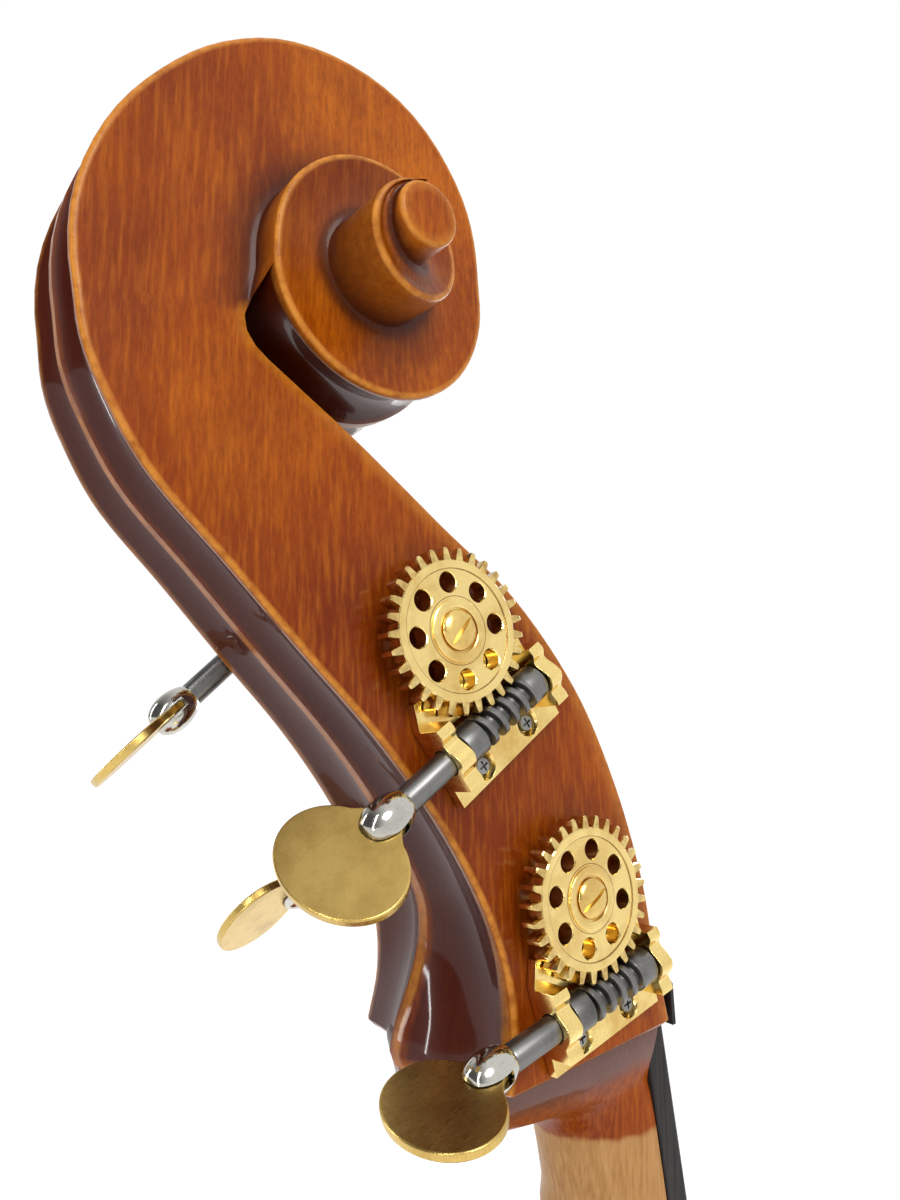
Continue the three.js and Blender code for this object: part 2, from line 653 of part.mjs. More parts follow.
function wheelOutline() {
  const outline = [];
  const step = (2 * Math.PI) / TEETH;
  for (let i = 0; i < TEETH; i++) {
    const centre = (i + 0.5) * step - Math.PI / 2;
    for (const [radius, half] of [[WHEEL_ROOT_RADIUS, -1.2], [WHEEL_TIP_RADIUS, -0.5],
      [WHEEL_TIP_RADIUS, 0.5], [WHEEL_ROOT_RADIUS, 1.2]]) {
      const angle = centre + half / radius;
      outline.push([radius * Math.cos(angle), radius * Math.sin(angle)]);
    }
  }
  return outline;
}

function wheel() {
  const holes = circle(HOLE_CIRCLE, 8, 0, 0, Math.PI / 8)
    .map(([x, y]) => circle(HOLE_RADIUS, 6, x, y).reverse());
  return slab(wheelOutline(), WHEEL_THICKNESS, [...holes, circle(2.6, 8).reverse()])
    .translate(0, 0, WHEEL_BACK);
}

function wheelScrew() {
  const top = WHEEL_BACK + WHEEL_THICKNESS;
  const profile = [[0, top - 4], [2.3, top - 4], [2.3, top + GAP], [5, top + GAP], [5, top + 0.8],
    [3.2, top + 1.5], [0, top + 1.8]];
  const turned = new THREE.LatheGeometry(profile.map((p) => new THREE.Vector2(...p)), 10)
    .rotateX(Math.PI / 2);
  return cut(fixed(turned), block([0.9, 14, 2], [0, 0, top + 2]).rotateZ(0.3));
}

/**
 * Right-hand single-start thread along X, with a crest at x = 0, angle 0. The skin is one
 * strip of profile points wound round the axis; each column starts a fraction of a pitch
 * further on, so the last column meets the first one a turn later.
 */
function threadedCore(low, high) {
  const columns = 8;
  const profile = [[-1.15, WORM_ROOT_RADIUS], [-0.8, WORM_TIP_RADIUS], [0.8, WORM_TIP_RADIUS],
    [1.15, WORM_ROOT_RADIUS]];
  const first = Math.floor(low / WORM_PITCH) - 1;
  const rows = (Math.ceil(high / WORM_PITCH) + 2 - first) * profile.length;
  const points = [];
  for (let row = 0; row < rows; row++) {
    for (let column = 0; column < columns; column++) {
      const [shift, radius] = profile[row % profile.length];
      const turn = first + Math.floor(row / profile.length) + column / columns;
      const angle = turn * 2 * Math.PI;
      points.push([turn * WORM_PITCH + shift, radius * Math.cos(angle), radius * Math.sin(angle)]);
    }
  }
  const lastRow = rows - 1 - profile.length;
  const id = (row, column) =>
    (column === columns ? (row + profile.length) * columns : row * columns + column);
  const triangles = [];
  for (let row = 0; row < lastRow; row++) {
    for (let column = 0; column < columns; column++) {
      const [p, q] = [id(row, column), id(row + 1, column)];
      const [r, t] = [id(row + 1, column + 1), id(row, column + 1)];
      triangles.push([p, q, r], [p, r, t]);
    }
  }
  const rim = (row) => [
    ...Array.from({ length: columns + 1 }, (_, column) => id(row, column)),
    ...profile.slice(1).map((_, k) => id(row + profile.length - 1 - k, 0)),
  ];
  for (const [row, reach, reverse] of [[0, -1, false], [lastRow, 1, true]]) {
    const apex = points.push([points[id(row, 0)][0] + reach * 2 * WORM_PITCH, 0, 0]) - 1;
    const loop = rim(row);
    loop.forEach((p, k) => {
      const q = loop[(k + 1) % loop.length];
      triangles.push(reverse ? [q, p, apex] : [p, q, apex]);
    });
  }
  const used = closed(points, triangles);
  const keep = block([high - low, 20, 20], [(low + high) / 2, 0, 0]);
  return toGeometry(toSolid(used).intersect(toSolid(keep)));
}

/** Round piece along the worm's axis, between two places measured towards the key. */
function along(dir, radius, from, to, sides = 16) {
  const [low, high] = [dir * from, dir * to].sort((p, q) => p - q);
  return bar(radius, low, high, sides).rotateY(Math.PI / 2);
}

function wormShaft(dir) {
  const [low, high] = [dir * WORM_SPAN[0], dir * WORM_SPAN[1]].sort((p, q) => p - q);
  return toGeometry(join(
    threadedCore(low - 0.5, high + 0.5),
    along(dir, WORM_TIP_RADIUS, WORM_SPAN[1], COLLAR_SPAN[1], 12),
    along(dir, WORM_TIP_RADIUS, COLLAR_SPAN[0], WORM_SPAN[0], 12),
    along(dir, SHAFT_RADIUS, COLLAR_SPAN[1] - 1, FERRULE_SPAN[0] - GAP, 12),
    along(dir, JOURNAL_RADIUS, BRACKET_FAR[0] + 0.5, COLLAR_SPAN[0] + 1, 12),
  ));
}

/** Oval grip at the shaft's end, slotted for the key's disc. */
function ferrule(dir, turn) {
  const [from, to] = FERRULE_SPAN;
  const profile = [[0, from], [SHAFT_RADIUS + 0.4, from], [5.2, from + 2.4], [5.8, from + 5.5],
    [5.1, from + 9], [3.4, to - 0.7], [0, to]];
  const body = new THREE.LatheGeometry(profile.map((p) => new THREE.Vector2(...p)), 14)
    .rotateZ(-Math.PI / 2 * dir);
  const slot = block([16, 16, KEY_THICKNESS + 2 * GAP], [dir * (KEY_SLOT + 8), 0, 0]);
  return cut(fixed(body), slot).rotateX(turn);
}

/** Flat disc with a short neck that sits in the ferrule's slot. */
function keyDisc(dir, turn) {
  const outline = [[KEY_SLOT + GAP, -3.4], [KEY_SLOT + 4.2, -5.6]];
  for (let i = 0; i <= 26; i++) {
    const angle = Math.PI + 0.5 + (i / 26) * (2 * Math.PI - 1);
    outline.push([KEY_CENTRE + KEY_LENGTH * Math.cos(angle), KEY_WIDTH * Math.sin(angle)]);
  }
  outline.push([KEY_SLOT + 4.2, 5.6], [KEY_SLOT + GAP, 3.4]);
  const placed = outline.map(([x, y]) => [dir * x, y]);
  return fixed(slab(placed, KEY_THICKNESS)).translate(0, 0, -KEY_THICKNESS / 2).rotateX(turn);
}

/** Dish in the plate round the head of a screw. */
function screwDish() {
  const profile = [[0, 2.5], [2.4, 2.5], [3.9, PLATE_TOP + 0.1], [0, PLATE_TOP + 0.1]];
  return fixed(new THREE.LatheGeometry(profile.map((p) => new THREE.Vector2(...p)), 8).rotateX(Math.PI / 2));
}

/** Base plate with its two screws and the two brackets that carry the worm's shaft. */
function machinePlate(dir) {
  const [low, high] = PLATE_SPAN;
  const outline = [[low, PLATE_OUTER], [high, PLATE_OUTER], [high, -15.8], [high - 2.5, PLATE_INNER],
    [low, PLATE_INNER]];
  const window = [[BRACKET_FAR[1] + 0.2, WINDOW[0]], [BRACKET_NEAR[0] - 0.2, WINDOW[0]],
    [BRACKET_NEAR[0] - 0.2, WINDOW[1]], [BRACKET_FAR[1] + 0.2, WINDOW[1]]];
  const facing = (points) => points.map(([x, y]) => [dir * x, y]);
  const base = fixed(slab(facing(outline), PLATE_TOP - GAP, [facing(window).reverse()]).translate(0, 0, GAP));
  // Wavy wall: foot, arch over the shaft, horn beside the wheel.
  const wall = [[-34.6, 1], [-34.6, 10.3], [-30.7, 10], [-28.5, 11.8], [-26, 12.7], [-24.5, 12], [-21.2, 9.6],
    [-18, 10.8], [-16.4, 10.2], [-16.4, 1]];
  const bracket = (from, to) => fixed(slab(wall, to - from).rotateX(Math.PI / 2).rotateZ(Math.PI / 2)
    .translate(dir > 0 ? from : -to, 0, 0));
  const journal = (radius, from, to) => along(dir, radius, from, to)
    .translate(0, -CENTRE_DISTANCE, WORM_HEIGHT);
  const bores = [
    journal(SHAFT_RADIUS + GAP, BRACKET_NEAR[0] - 1, BRACKET_NEAR[1] + 1),
    journal(JOURNAL_RADIUS + GAP, BRACKET_FAR[0] - 1, BRACKET_FAR[1] + 1),
    ...SCREW_PLACES.map(([x, y]) => screwDish().translate(dir * x, y, 0)),
  ];
  const shanks = SCREW_PLACES.map(([x, y]) => bar(SCREW_RADIUS, -SCREW_DEPTH, 1, 8).translate(dir * x, y, 0));
  return cut(toGeometry(join(base, bracket(...BRACKET_NEAR), bracket(...BRACKET_FAR), ...shanks)), ...bores);
}

function roller(machine) {
  const inner = -CHEEK_WALL - GAP;
  const outer = inner - rollerLength(machine.z);
  return toGeometry(join(
    bar(ROLLER_RADIUS, outer + 2.6, inner - 2.6),
    bar(AXLE_RADIUS, outer - 6, WHEEL_BACK - GAP, 14),
  ));
}

for (const [note, machine] of Object.entries(MACHINES)) {
  const set = new THREE.Group();
  machineFrame(machine).decompose(set.position, set.quaternion, set.scale);
  head.add(set);
  // Seen along the worm, the key lies on the +x side of a treble machine and on the
  // -x side of a bass one.
  const dir = machine.side;
  const wormAxis = new THREE.Group();
  wormAxis.position.set(0, -CENTRE_DISTANCE, WORM_HEIGHT);
  set.add(wormAxis);
  const turn = THREE.MathUtils.degToRad(-machine.key);
  place(`machine_plate_${note}`, machinePlate(dir), BRASS, set);
  place(`worm_shaft_${note}`, wormShaft(dir), STEEL, wormAxis);
  place(`key_ferrule_${note}`, ferrule(dir, turn), NICKEL, wormAxis);
  place(`key_disc_${note}`, keyDisc(dir, turn), SATIN_BRASS, wormAxis);
  place(`worm_wheel_${note}`, wheel(), BRASS, set);
  place(`wheel_screw_${note}`, wheelScrew(), BRASS, set);
  place(`roller_${note}`, roller(machine), ROLLER_WOOD, set);
}

// ---------------------------------------------------------------- strings

const headToWorld = (x, y, z) => new THREE.Vector3(x, y, z)
  .applyAxisAngle(new THREE.Vector3(1, 0, 0), -HEAD_LEAN).add(new THREE.Vector3(...HEAD_ORIGIN));

/** Height of the string line above the floor's frame at the bridge, across its crown. */
const bridgeCrest = (x) => BRIDGE_CREST + (x * x) / 170;
const TAILPIECE_TOP = [0, BRIDGE_CREST + 30, BRIDGE_Z - 98];

/** Point where a string coming from another point touches its roller, on the front side. */
function rollerTangent(machine, from, radius) {
  const dy = machine.y - from[0];
  const dz = machine.z - from[1];
  const distance = Math.hypot(dy, dz);
  const angle = Math.atan2(dz, dy) + Math.asin(radius / distance);
  const run = Math.sqrt(distance ** 2 - radius ** 2);
  return [from[0] + run * Math.cos(angle), from[1] + run * Math.sin(angle)];
}

for (const [note, string] of Object.entries(STRINGS)) {
  const clear = string.radius + 2 * GAP;
  const nutTop = nutFront(string.nut) - clear;
  const machine = MACHINES[note];
  // The D string passes in front of the A roller on its way to the upper machine.
  const passing = note === 'd' ? [[62.6, 125]] : [];
  const start = passing.length ? passing[0] : [nutTop, 10];
  const end = rollerTangent(machine, start, ROLLER_RADIUS + clear);
  const inHead = [[nutTop, BOARD_TOP_Z + 4], [nutTop + 0.5, BOARD_TOP_Z + 13], ...passing, end];
  const rollerX = string.nut * 0.9;
  const points = [
    new THREE.Vector3(string.bridge * 0.72, TAILPIECE_TOP[1] - 4, TAILPIECE_TOP[2] + 3),
    new THREE.Vector3(string.bridge, bridgeCrest(string.bridge) - clear, BRIDGE_Z - 5),
    new THREE.Vector3(string.bridge, bridgeCrest(string.bridge) - clear, BRIDGE_Z + 5),
    ...inHead.map(([y, z], i) => headToWorld(lerp(string.nut, rollerX, i / (inHead.length - 1)), y, z)),
  ];
  place(`string_${note}`, tube(points, string.radius), STRING_STEEL);
}

/** Tube with eight sides through the points, its section carried along without twist. */
function tube(points, radius) {
  const normal = new THREE.Vector3(1, 0, 0);
  const rings = points.map((point, i) => {
    const before = points[Math.max(i - 1, 0)];
    const after = points[Math.min(i + 1, points.length - 1)];
    const tangent = after.clone().sub(before).normalize();
    normal.addScaledVector(tangent, -tangent.dot(normal)).normalize();
    const second = tangent.clone().cross(normal);
    return circle(radius, 8).map(([u, v]) => point.clone().addScaledVector(normal, u)
      .addScaledVector(second, v).toArray());
  });
  return loft(rings);
}

// ---------------------------------------------------------------- bridge, tailpiece, saddle

const bridgeFoot = (x) => topOuter(x, BRIDGE_Z - BODY_BOTTOM) - 0.5;
const bridgeSide = [[50, 24], [40, 60], [46, 78], [34, 98], [52, 112], [60, 124], [82, 134]];
const bridgeOutline = [];
for (let i = 0; i <= 12; i++) {
  const x = lerp(-BRIDGE_HALF_TOP, BRIDGE_HALF_TOP, i / 12);
  bridgeOutline.push([x, bridgeCrest(x)]);
}
for (const [x, drop] of bridgeSide) bridgeOutline.push([x, BRIDGE_CREST + drop]);
for (const x of [80, 62, 46]) bridgeOutline.push([x, bridgeFoot(x)]);
bridgeOutline.push([40, BRIDGE_CREST + 118], [26, BRIDGE_CREST + 104], [0, BRIDGE_CREST + 98],
  [-26, BRIDGE_CREST + 104], [-40, BRIDGE_CREST + 118]);
for (const x of [-46, -62, -80]) bridgeOutline.push([x, bridgeFoot(x)]);
for (const [x, drop] of bridgeSide.slice().reverse()) bridgeOutline.push([-x, BRIDGE_CREST + drop]);
const HEART = [[0, -212], [-9, -222], [-6, -232], [0, -226], [6, -232], [9, -222], [0, -212]];
const heart = spline(HEART, 12).slice(1);
const bridgeBlank = slab(bridgeOutline, 20, [heart]);
const bridgeGeometry = fixed(bridgeBlank.translate(0, 0, BRIDGE_Z - 10));
{
  // The bridge is thickest at its feet and thin under the strings.
  const position = bridgeGeometry.attributes.position;
  for (let i = 0; i < position.count; i++) {
    const t = THREE.MathUtils.clamp((position.getY(i) - BRIDGE_CREST) / 135, 0, 1);
    position.setZ(i, BRIDGE_Z + (position.getZ(i) - BRIDGE_Z) * lerp(0.42, 1.1, t));
  }
}
place('bridge', bridgeGeometry, BARE_MAPLE);

const tailLean = Math.atan2(SADDLE_Y - TAILPIECE_TOP[1], TAILPIECE_TOP[2] - BODY_BOTTOM);
const tail = new THREE.Group();
tail.position.set(0, TAILPIECE_TOP[1], TAILPIECE_TOP[2]);
tail.rotation.x = tailLean;
instrument.add(tail);
const tailRings = [[0, 44, 8], [-12, 46, 9], [-120, 37, 9], [-TAILPIECE_LENGTH + 8, 25, 8],
  [-TAILPIECE_LENGTH, 22, 7]]
  .map(([z, half, rise]) => {
    const ring = [[half, 8, z], [-half, 8, z]];
    for (let i = 0; i <= 8; i++) {
      const x = lerp(-half, half, i / 8);
      ring.push([x, -rise * (1 - (x / half) ** 2), z]);
    }
    return ring;
  });
place('tailpiece', loft(tailRings), EBONY, tail);

const saddleProfile = [[-109.6, 14], [-118, 14], [-119.5, 8], [-117, -3], [-108, -5], [-96, -5], [-96, -1],
  [-106.8, -1]];
place('saddle', fixed(slab(saddleProfile.map(([y, z]) => [z, y]), 70).rotateY(-Math.PI / 2)
  .translate(35, 0, BODY_BOTTOM)), EBONY);

// ---------------------------------------------------------------- endpin

const SOCKET_RADIUS = 17;
const SOCKET_FLANGE = 23;
const SOCKET_BOTTOM = 84;
const SOCKET_TOP = BODY_BOTTOM + 66;
const SCREW_Z = 94;

/** Turned socket: flange outside the ribs, taper inside the block, bore for the rod. */
function endpinSocket() {
  const seat = BODY_BOTTOM + RIB_INSET - GAP;
  const profile = [[0, SOCKET_BOTTOM], [11, SOCKET_BOTTOM], [13, SOCKET_BOTTOM + 5], [13, seat - 5],
    [SOCKET_FLANGE, seat - 4], [SOCKET_FLANGE, seat], [SOCKET_RADIUS, seat], [SOCKET_RADIUS - 1, SOCKET_TOP],
    [0, SOCKET_TOP]];
  const turned = fixed(new THREE.LatheGeometry(profile.map((p) => new THREE.Vector2(...p)), 20)
    .rotateX(Math.PI / 2));
  const screwHole = bar(3 + GAP, 0, 30, 12).rotateX(Math.PI / 2).translate(0, 0, SCREW_Z);
  return cut(turned, bar(ROD_RADIUS + GAP, 0, SOCKET_TOP + 10, 16), screwHole);
}

function endpinTip() {
  const profile = [[0, 0], [3, 0], [6, 2.5], [9, 12], [9, TIP_LENGTH], [0, TIP_LENGTH]];
  const turned = fixed(new THREE.LatheGeometry(profile.map((p) => new THREE.Vector2(...p)), 16)
    .rotateX(Math.PI / 2));
  return cut(turned, bar(ROD_RADIUS + GAP, 8, TIP_LENGTH + 2, 16));
}

/** Screw with a wing head that clamps the rod. */
function thumbscrew() {
  const wing = [[-9, 0], [-7, 5], [-3, 4], [3, 4], [7, 5], [9, 0], [7, -5], [3, -4], [-3, -4], [-7, -5]];
  return toGeometry(join(
    bar(3, ROD_RADIUS + 2 * GAP, 17, 12),
    bar(4.5, 15, 20, 12),
    slab(wing, 3.2).rotateX(Math.PI / 2).translate(0, 1.6, 24),
  ));
}

place('endpin_socket', endpinSocket(), EBONY);
place('endpin_rod', bar(ROD_RADIUS, 8 + GAP, ROD_TOP, 16), STEEL);
place('endpin_tip', endpinTip(), RUBBER);
place('endpin_thumbscrew', thumbscrew(), STEEL).position.set(0, 0, SCREW_Z);
instrument.getObjectByName('endpin_thumbscrew').rotation.x = Math.PI / 2;

// Tail wire: from one side of the tailpiece, round the endpin socket and back.
const tailEnd = new THREE.Vector3(0, 0, -TAILPIECE_LENGTH - 1)
  .applyAxisAngle(new THREE.Vector3(1, 0, 0), tailLean)
  .add(tail.position);
const WIRE_RADIUS = 1.6;
const WIRE_Z = 103;
const wirePoints = [];
for (const side of [-1, 1]) {
  const run = [
    [side * 8, tailEnd.y + 3, tailEnd.z],
    [side * 10, -125, BODY_BOTTOM + 18],
    [side * 12, -123.5, BODY_BOTTOM + 1],
    [side * 13, -117, WIRE_Z - 2],
    [side * 15, -104, WIRE_Z - 2],
    [side * 17, -60, WIRE_Z],
    [side * 17, 0, WIRE_Z],
  ];
  wirePoints.push(...(side < 0 ? run : run.reverse()));
}
wirePoints.splice(7, 0, [-12, 12, WIRE_Z], [0, 17, WIRE_Z], [12, 12, WIRE_Z]);
place('tail_wire', tube(wirePoints.map((p) => new THREE.Vector3(...p)), WIRE_RADIUS), STEEL);

export default instrument;
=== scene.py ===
"""Double bass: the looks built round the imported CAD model. Lengths are in millimetres until they reach a mesh."""

import math

import bmesh
import bpy
import numpy as np
from mathutils import Matrix, Vector


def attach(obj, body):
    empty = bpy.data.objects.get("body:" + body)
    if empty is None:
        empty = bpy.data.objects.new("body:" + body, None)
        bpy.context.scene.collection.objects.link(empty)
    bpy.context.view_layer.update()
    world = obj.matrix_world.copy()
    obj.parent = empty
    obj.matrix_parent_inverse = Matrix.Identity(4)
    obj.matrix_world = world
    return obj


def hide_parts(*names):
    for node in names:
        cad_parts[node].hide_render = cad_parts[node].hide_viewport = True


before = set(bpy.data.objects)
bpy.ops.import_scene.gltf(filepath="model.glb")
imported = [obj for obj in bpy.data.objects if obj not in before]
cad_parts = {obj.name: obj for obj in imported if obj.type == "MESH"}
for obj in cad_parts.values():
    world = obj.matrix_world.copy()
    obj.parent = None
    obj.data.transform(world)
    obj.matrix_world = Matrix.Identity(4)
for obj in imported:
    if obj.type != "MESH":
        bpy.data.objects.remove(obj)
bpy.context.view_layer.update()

MM = 0.001

# ---- places shared with the CAD model

HEAD_LEAN = math.radians(5.1)
HEAD_HEIGHT = 1656
BODY_TOP = 1220.3  # the heel rests on this height
WORLD = Matrix.Scale(MM, 4)
HEAD = Matrix.Translation((0, -71.6 * MM, HEAD_HEIGHT * MM)) @ Matrix.Rotation(-HEAD_LEAN, 4, "X") @ WORLD
LEDGE_HALF = 34.5
CHEEK_SLOPE = 0.077
CHEEK_TILT = math.atan(CHEEK_SLOPE)
CHEEK_WALL = 11
EYE = (89.4, 216.4)
MACHINES = {
    "e": dict(side=-1, y=35.4, z=43.6, tilt=9.8, key=80),
    "a": dict(side=-1, y=71.5, z=118.6, tilt=29.5, key=52),
    "d": dict(side=1, y=105.5, z=149.5, tilt=39.5, key=71),
    "g": dict(side=1, y=51.2, z=82.5, tilt=19.9, key=46),
}
CENTRE_DISTANCE = 25.8
WORM_HEIGHT = 6.47
NUT_PLACES = {"e": -15, "a": -5, "d": 5, "g": 15}


def machine_matrix(side, y, z, tilt, key):
    """Frame of a machine: x along the worm, y from worm to wheel, z out of the cheek."""
    up = Vector((-side * math.sin(CHEEK_TILT), 0, math.cos(CHEEK_TILT)))
    out = Vector((side * math.cos(CHEEK_TILT), 0, math.sin(CHEEK_TILT)))
    angle = math.radians(tilt)
    across = Vector((0, math.sin(angle), 0)) + up * math.cos(angle)
    along = across.cross(out)
    local = Matrix((along, across, out)).transposed().to_4x4()
    local.translation = Vector((side * LEDGE_HALF, y, 0)) + up * z
    return HEAD @ local


def new_object(name, data):
    made = bpy.data.objects.new(name, data)
    bpy.context.scene.collection.objects.link(made)
    return made


# ---- camera

CAMERA_IN_HEAD = Vector((-204.2, 205.0, 110.3))
CAMERA_RIGHT = Vector((-0.60622, -0.79312, -0.05883))
CAMERA_UP = Vector((-0.0966, 0, 0.99532))

camera_data = bpy.data.cameras.new("camera")
camera_data.sensor_width = 36
camera_data.lens = 24.96
camera_data.clip_start = 0.01
camera_data.clip_end = 50
camera = new_object("camera", camera_data)
bpy.context.scene.camera = camera
turn = HEAD.to_3x3().normalized()
right, up = turn @ CAMERA_RIGHT, turn @ CAMERA_UP
back = right.cross(up)
camera.matrix_world = Matrix.Translation(HEAD @ CAMERA_IN_HEAD) @ Matrix((right, up, back)).transposed().to_4x4()


# ---- curves and grids

WELD = 0.01
SHARP = math.radians(35)


def through(pairs, at):
    """Smooth value through (position, value) pairs."""
    xs = [p[0] for p in pairs]
    i = min(max(sum(1 for x in xs if x <= at) - 1, 0), len(pairs) - 2)
    (x0, y0), (x1, y1), (x2, y2), (x3, y3) = (pairs[min(max(k, 0), len(pairs) - 1)] for k in range(i - 1, i + 3))
    span = x2 - x1
    t = min(max((at - x1) / span, 0.0), 1.0)
    slope_in = (y2 - y0) / max(x2 - x0, 1e-6) * span
    slope_out = (y3 - y1) / max(x3 - x1, 1e-6) * span
    return (
        (2 * t**3 - 3 * t**2 + 1) * y1
        + (t**3 - 2 * t**2 + t) * slope_in
        + (3 * t**2 - 2 * t**3) * y2
        + (t**3 - t**2) * slope_out
    )


def resample(points, count):
    """Evenly spaced points on a smooth curve through the given ones."""
    pts = np.array(points, float)
    steps = np.r_[0, np.cumsum(np.sqrt(np.linalg.norm(np.diff(pts, axis=0), axis=1)))]
    fine = np.linspace(0, steps[-1], 40 * len(pts))
    axes = [[(s, p) for s, p in zip(steps, pts[:, a])] for a in range(pts.shape[1])]
    dense = np.array([[through(pairs, f) for pairs in axes] for f in fine])
    run = np.r_[0, np.cumsum(np.linalg.norm(np.diff(dense, axis=0), axis=1))]
    wanted = np.linspace(0, run[-1], count)
    return np.stack([np.interp(wanted, run, dense[:, a]) for a in range(pts.shape[1])], 1)


def smoothstep(t):
    t = min(max(t, 0.0), 1.0)
    return t * t * (3 - 2 * t)


class Builder:
    """Collects vertices with their painted values, and faces, for one mesh."""

    def __init__(self, matrix, paints=()):
        self.matrix = matrix
        self.points, self.faces = [], []
        self.paint = {name: [] for name in paints}

    def vertex(self, point, **values):
        self.points.append(tuple(point))
        for name, store in self.paint.items():
            store.append(values.get(name, 0.0))
        return len(self.points) - 1

    def row(self, points, **values):
        return [self.vertex(p, **{k: (v[i] if hasattr(v, "__len__") else v) for k, v in values.items()})
                for i, p in enumerate(points)]

    def skin(self, lower, upper, ring=False):
        """Quads between two rows of vertices."""
        count = len(lower)
        for i in range(count if ring else count - 1):
            j = (i + 1) % count
            self.face([lower[i], lower[j], upper[j], upper[i]])

    def face(self, corners):
        unique = [c for i, c in enumerate(corners) if c not in corners[:i]]
        if len(unique) > 2:
            self.faces.append(unique)

    def loft(self, rings, ring=True, caps=True):
        for lower, upper in zip(rings, rings[1:]):
            self.skin(lower, upper, ring)
        if caps:
            self.face(rings[0][::-1])
            self.face(rings[-1])

    def finish(self, name, material, body, replaces=(), slot=None):
        mesh = bpy.data.meshes.new(name)
        mesh.from_pydata([self.matrix @ Vector(p) for p in self.points], [], self.faces)
        for label, values in self.paint.items():
            attribute = mesh.attributes.new(label, "FLOAT", "POINT")
            attribute.data.foreach_set("value", values)
        tidy(mesh)
        return add(name, mesh, material, body, replaces)


def tidy(mesh):
    """Weld doubles, turn faces out and mark hard edges."""
    work = bmesh.new()
    work.from_mesh(mesh)
    bmesh.ops.remove_doubles(work, verts=work.verts, dist=WELD * MM)
    bmesh.ops.dissolve_degenerate(work, edges=work.edges, dist=1e-6)
    bmesh.ops.recalc_face_normals(work, faces=work.faces)
    if work.calc_volume(signed=True) < 0:
        bmesh.ops.reverse_faces(work, faces=work.faces)
    work.to_mesh(mesh)
    work.free()
    mesh.shade_smooth()
    mesh.set_sharp_from_angle(angle=SHARP)


def add(name, mesh, material, body, replaces):
    piece = new_object(name, mesh)
    mesh.materials.append(material)
    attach(piece, body)
    if replaces:
        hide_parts(*replaces)
    return piece


def bevel(piece, width, segments=2, angle=35):
    modifier = piece.modifiers.new("edge", "BEVEL")
    modifier.width = width * MM
    modifier.segments = segments
    modifier.limit_method = "ANGLE"
    modifier.angle_limit = math.radians(angle)
    modifier.harden_normals = True
    modifier.use_clamp_overlap = True
    return piece


# ---- materials


def linear(color):
    return tuple(((c / 255 + 0.055) / 1.055) ** 2.4 if c / 255 > 0.04045 else c / 255 / 12.92 for c in color) + (1,)


class Shader:
    """Small wrapper that wires a Principled material node by node."""

    def __init__(self, name, **settings):
        self.material = bpy.data.materials.new(name)
        self.material.use_nodes = True
        self.tree = self.material.node_tree
        self.surface = self.tree.nodes["Principled BSDF"]
        for key, value in settings.items():
            self.surface.inputs[key.replace("_", " ")].default_value = value
        self.where = self.node("ShaderNodeTexCoord").outputs["Object"]

    def node(self, kind, **settings):
        made = self.tree.nodes.new(kind)
        for key, value in settings.items():
            setattr(made, key, value)
        return made

    def link(self, source, target):
        """Wire a socket, or set a number or a colour. Three values are a colour on the screen, 0 to 255."""
        if hasattr(source, "is_output"):
            self.tree.links.new(source, target)
        else:
            target.default_value = linear(source) if isinstance(source, tuple) and len(source) == 3 else source

    def math(self, operation, *values):
        made = self.node("ShaderNodeMath", operation=operation)
        for i, value in enumerate(values):
            self.link(value, made.inputs[i])
        return made.outputs[0]

    def noise(self, scale, detail=3, roughness=0.5, where=None, distortion=0.0):
        """Noise with so many features to a metre along each axis."""
        stretch = self.node("ShaderNodeMapping")
        stretch.inputs["Scale"].default_value = scale if hasattr(scale, "__len__") else (scale,) * 3
        self.link(where or self.where, stretch.inputs["Vector"])
        made = self.node("ShaderNodeTexNoise")
        settings = dict(Scale=1, Detail=detail, Roughness=roughness, Distortion=distortion)
        for key, value in settings.items():
            made.inputs[key].default_value = value
        self.link(stretch.outputs[0], made.inputs["Vector"])
        return made.outputs["Fac"]

    def ramp(self, factor, *stops, smooth=False):
        made = self.node("ShaderNodeValToRGB")
        made.color_ramp.interpolation = "EASE" if smooth else "LINEAR"
        elements = made.color_ramp.elements
        while len(elements) < len(stops):
            elements.new(0.5)
        for element, (position, color) in zip(elements, stops):
            element.position = position
            element.color = linear(color) if isinstance(color, tuple) else (color, color, color, 1)
        self.link(factor, made.inputs["Fac"])
        return made.outputs["Color"]

    def mix(self, factor, first, second):
        made = self.node("ShaderNodeMix", data_type="RGBA")
        self.link(factor, made.inputs[0])
        self.link(first, made.inputs[6])
        self.link(second, made.inputs[7])
        return made.outputs[2]

    def stain(self, base, factor, start, stop, amount, color):
        """Colour that comes in as a factor goes from start to stop, up to an amount."""
        return self.mix(self.ramp(factor, (start, 0.0), (stop, amount)), base, color)

    def painted(self, name):
        return self.node("ShaderNodeAttribute", attribute_name=name).outputs["Fac"]

    def band(self, value, low, high):
        """1 between two values, else 0."""
        return self.math("MULTIPLY", self.math("GREATER_THAN", value, low), self.math("LESS_THAN", value, high))

    def bump(self, height, strength, distance):
        made = self.node("ShaderNodeBump")
        made.inputs["Strength"].default_value = strength
        made.inputs["Distance"].default_value = distance
        self.link(height, made.inputs["Height"])
        self.link(made.outputs[0], self.surface.inputs["Normal"])

    def set(self, **values):
        for key, value in values.items():
            self.link(value, self.surface.inputs[key.replace("_", " ")])


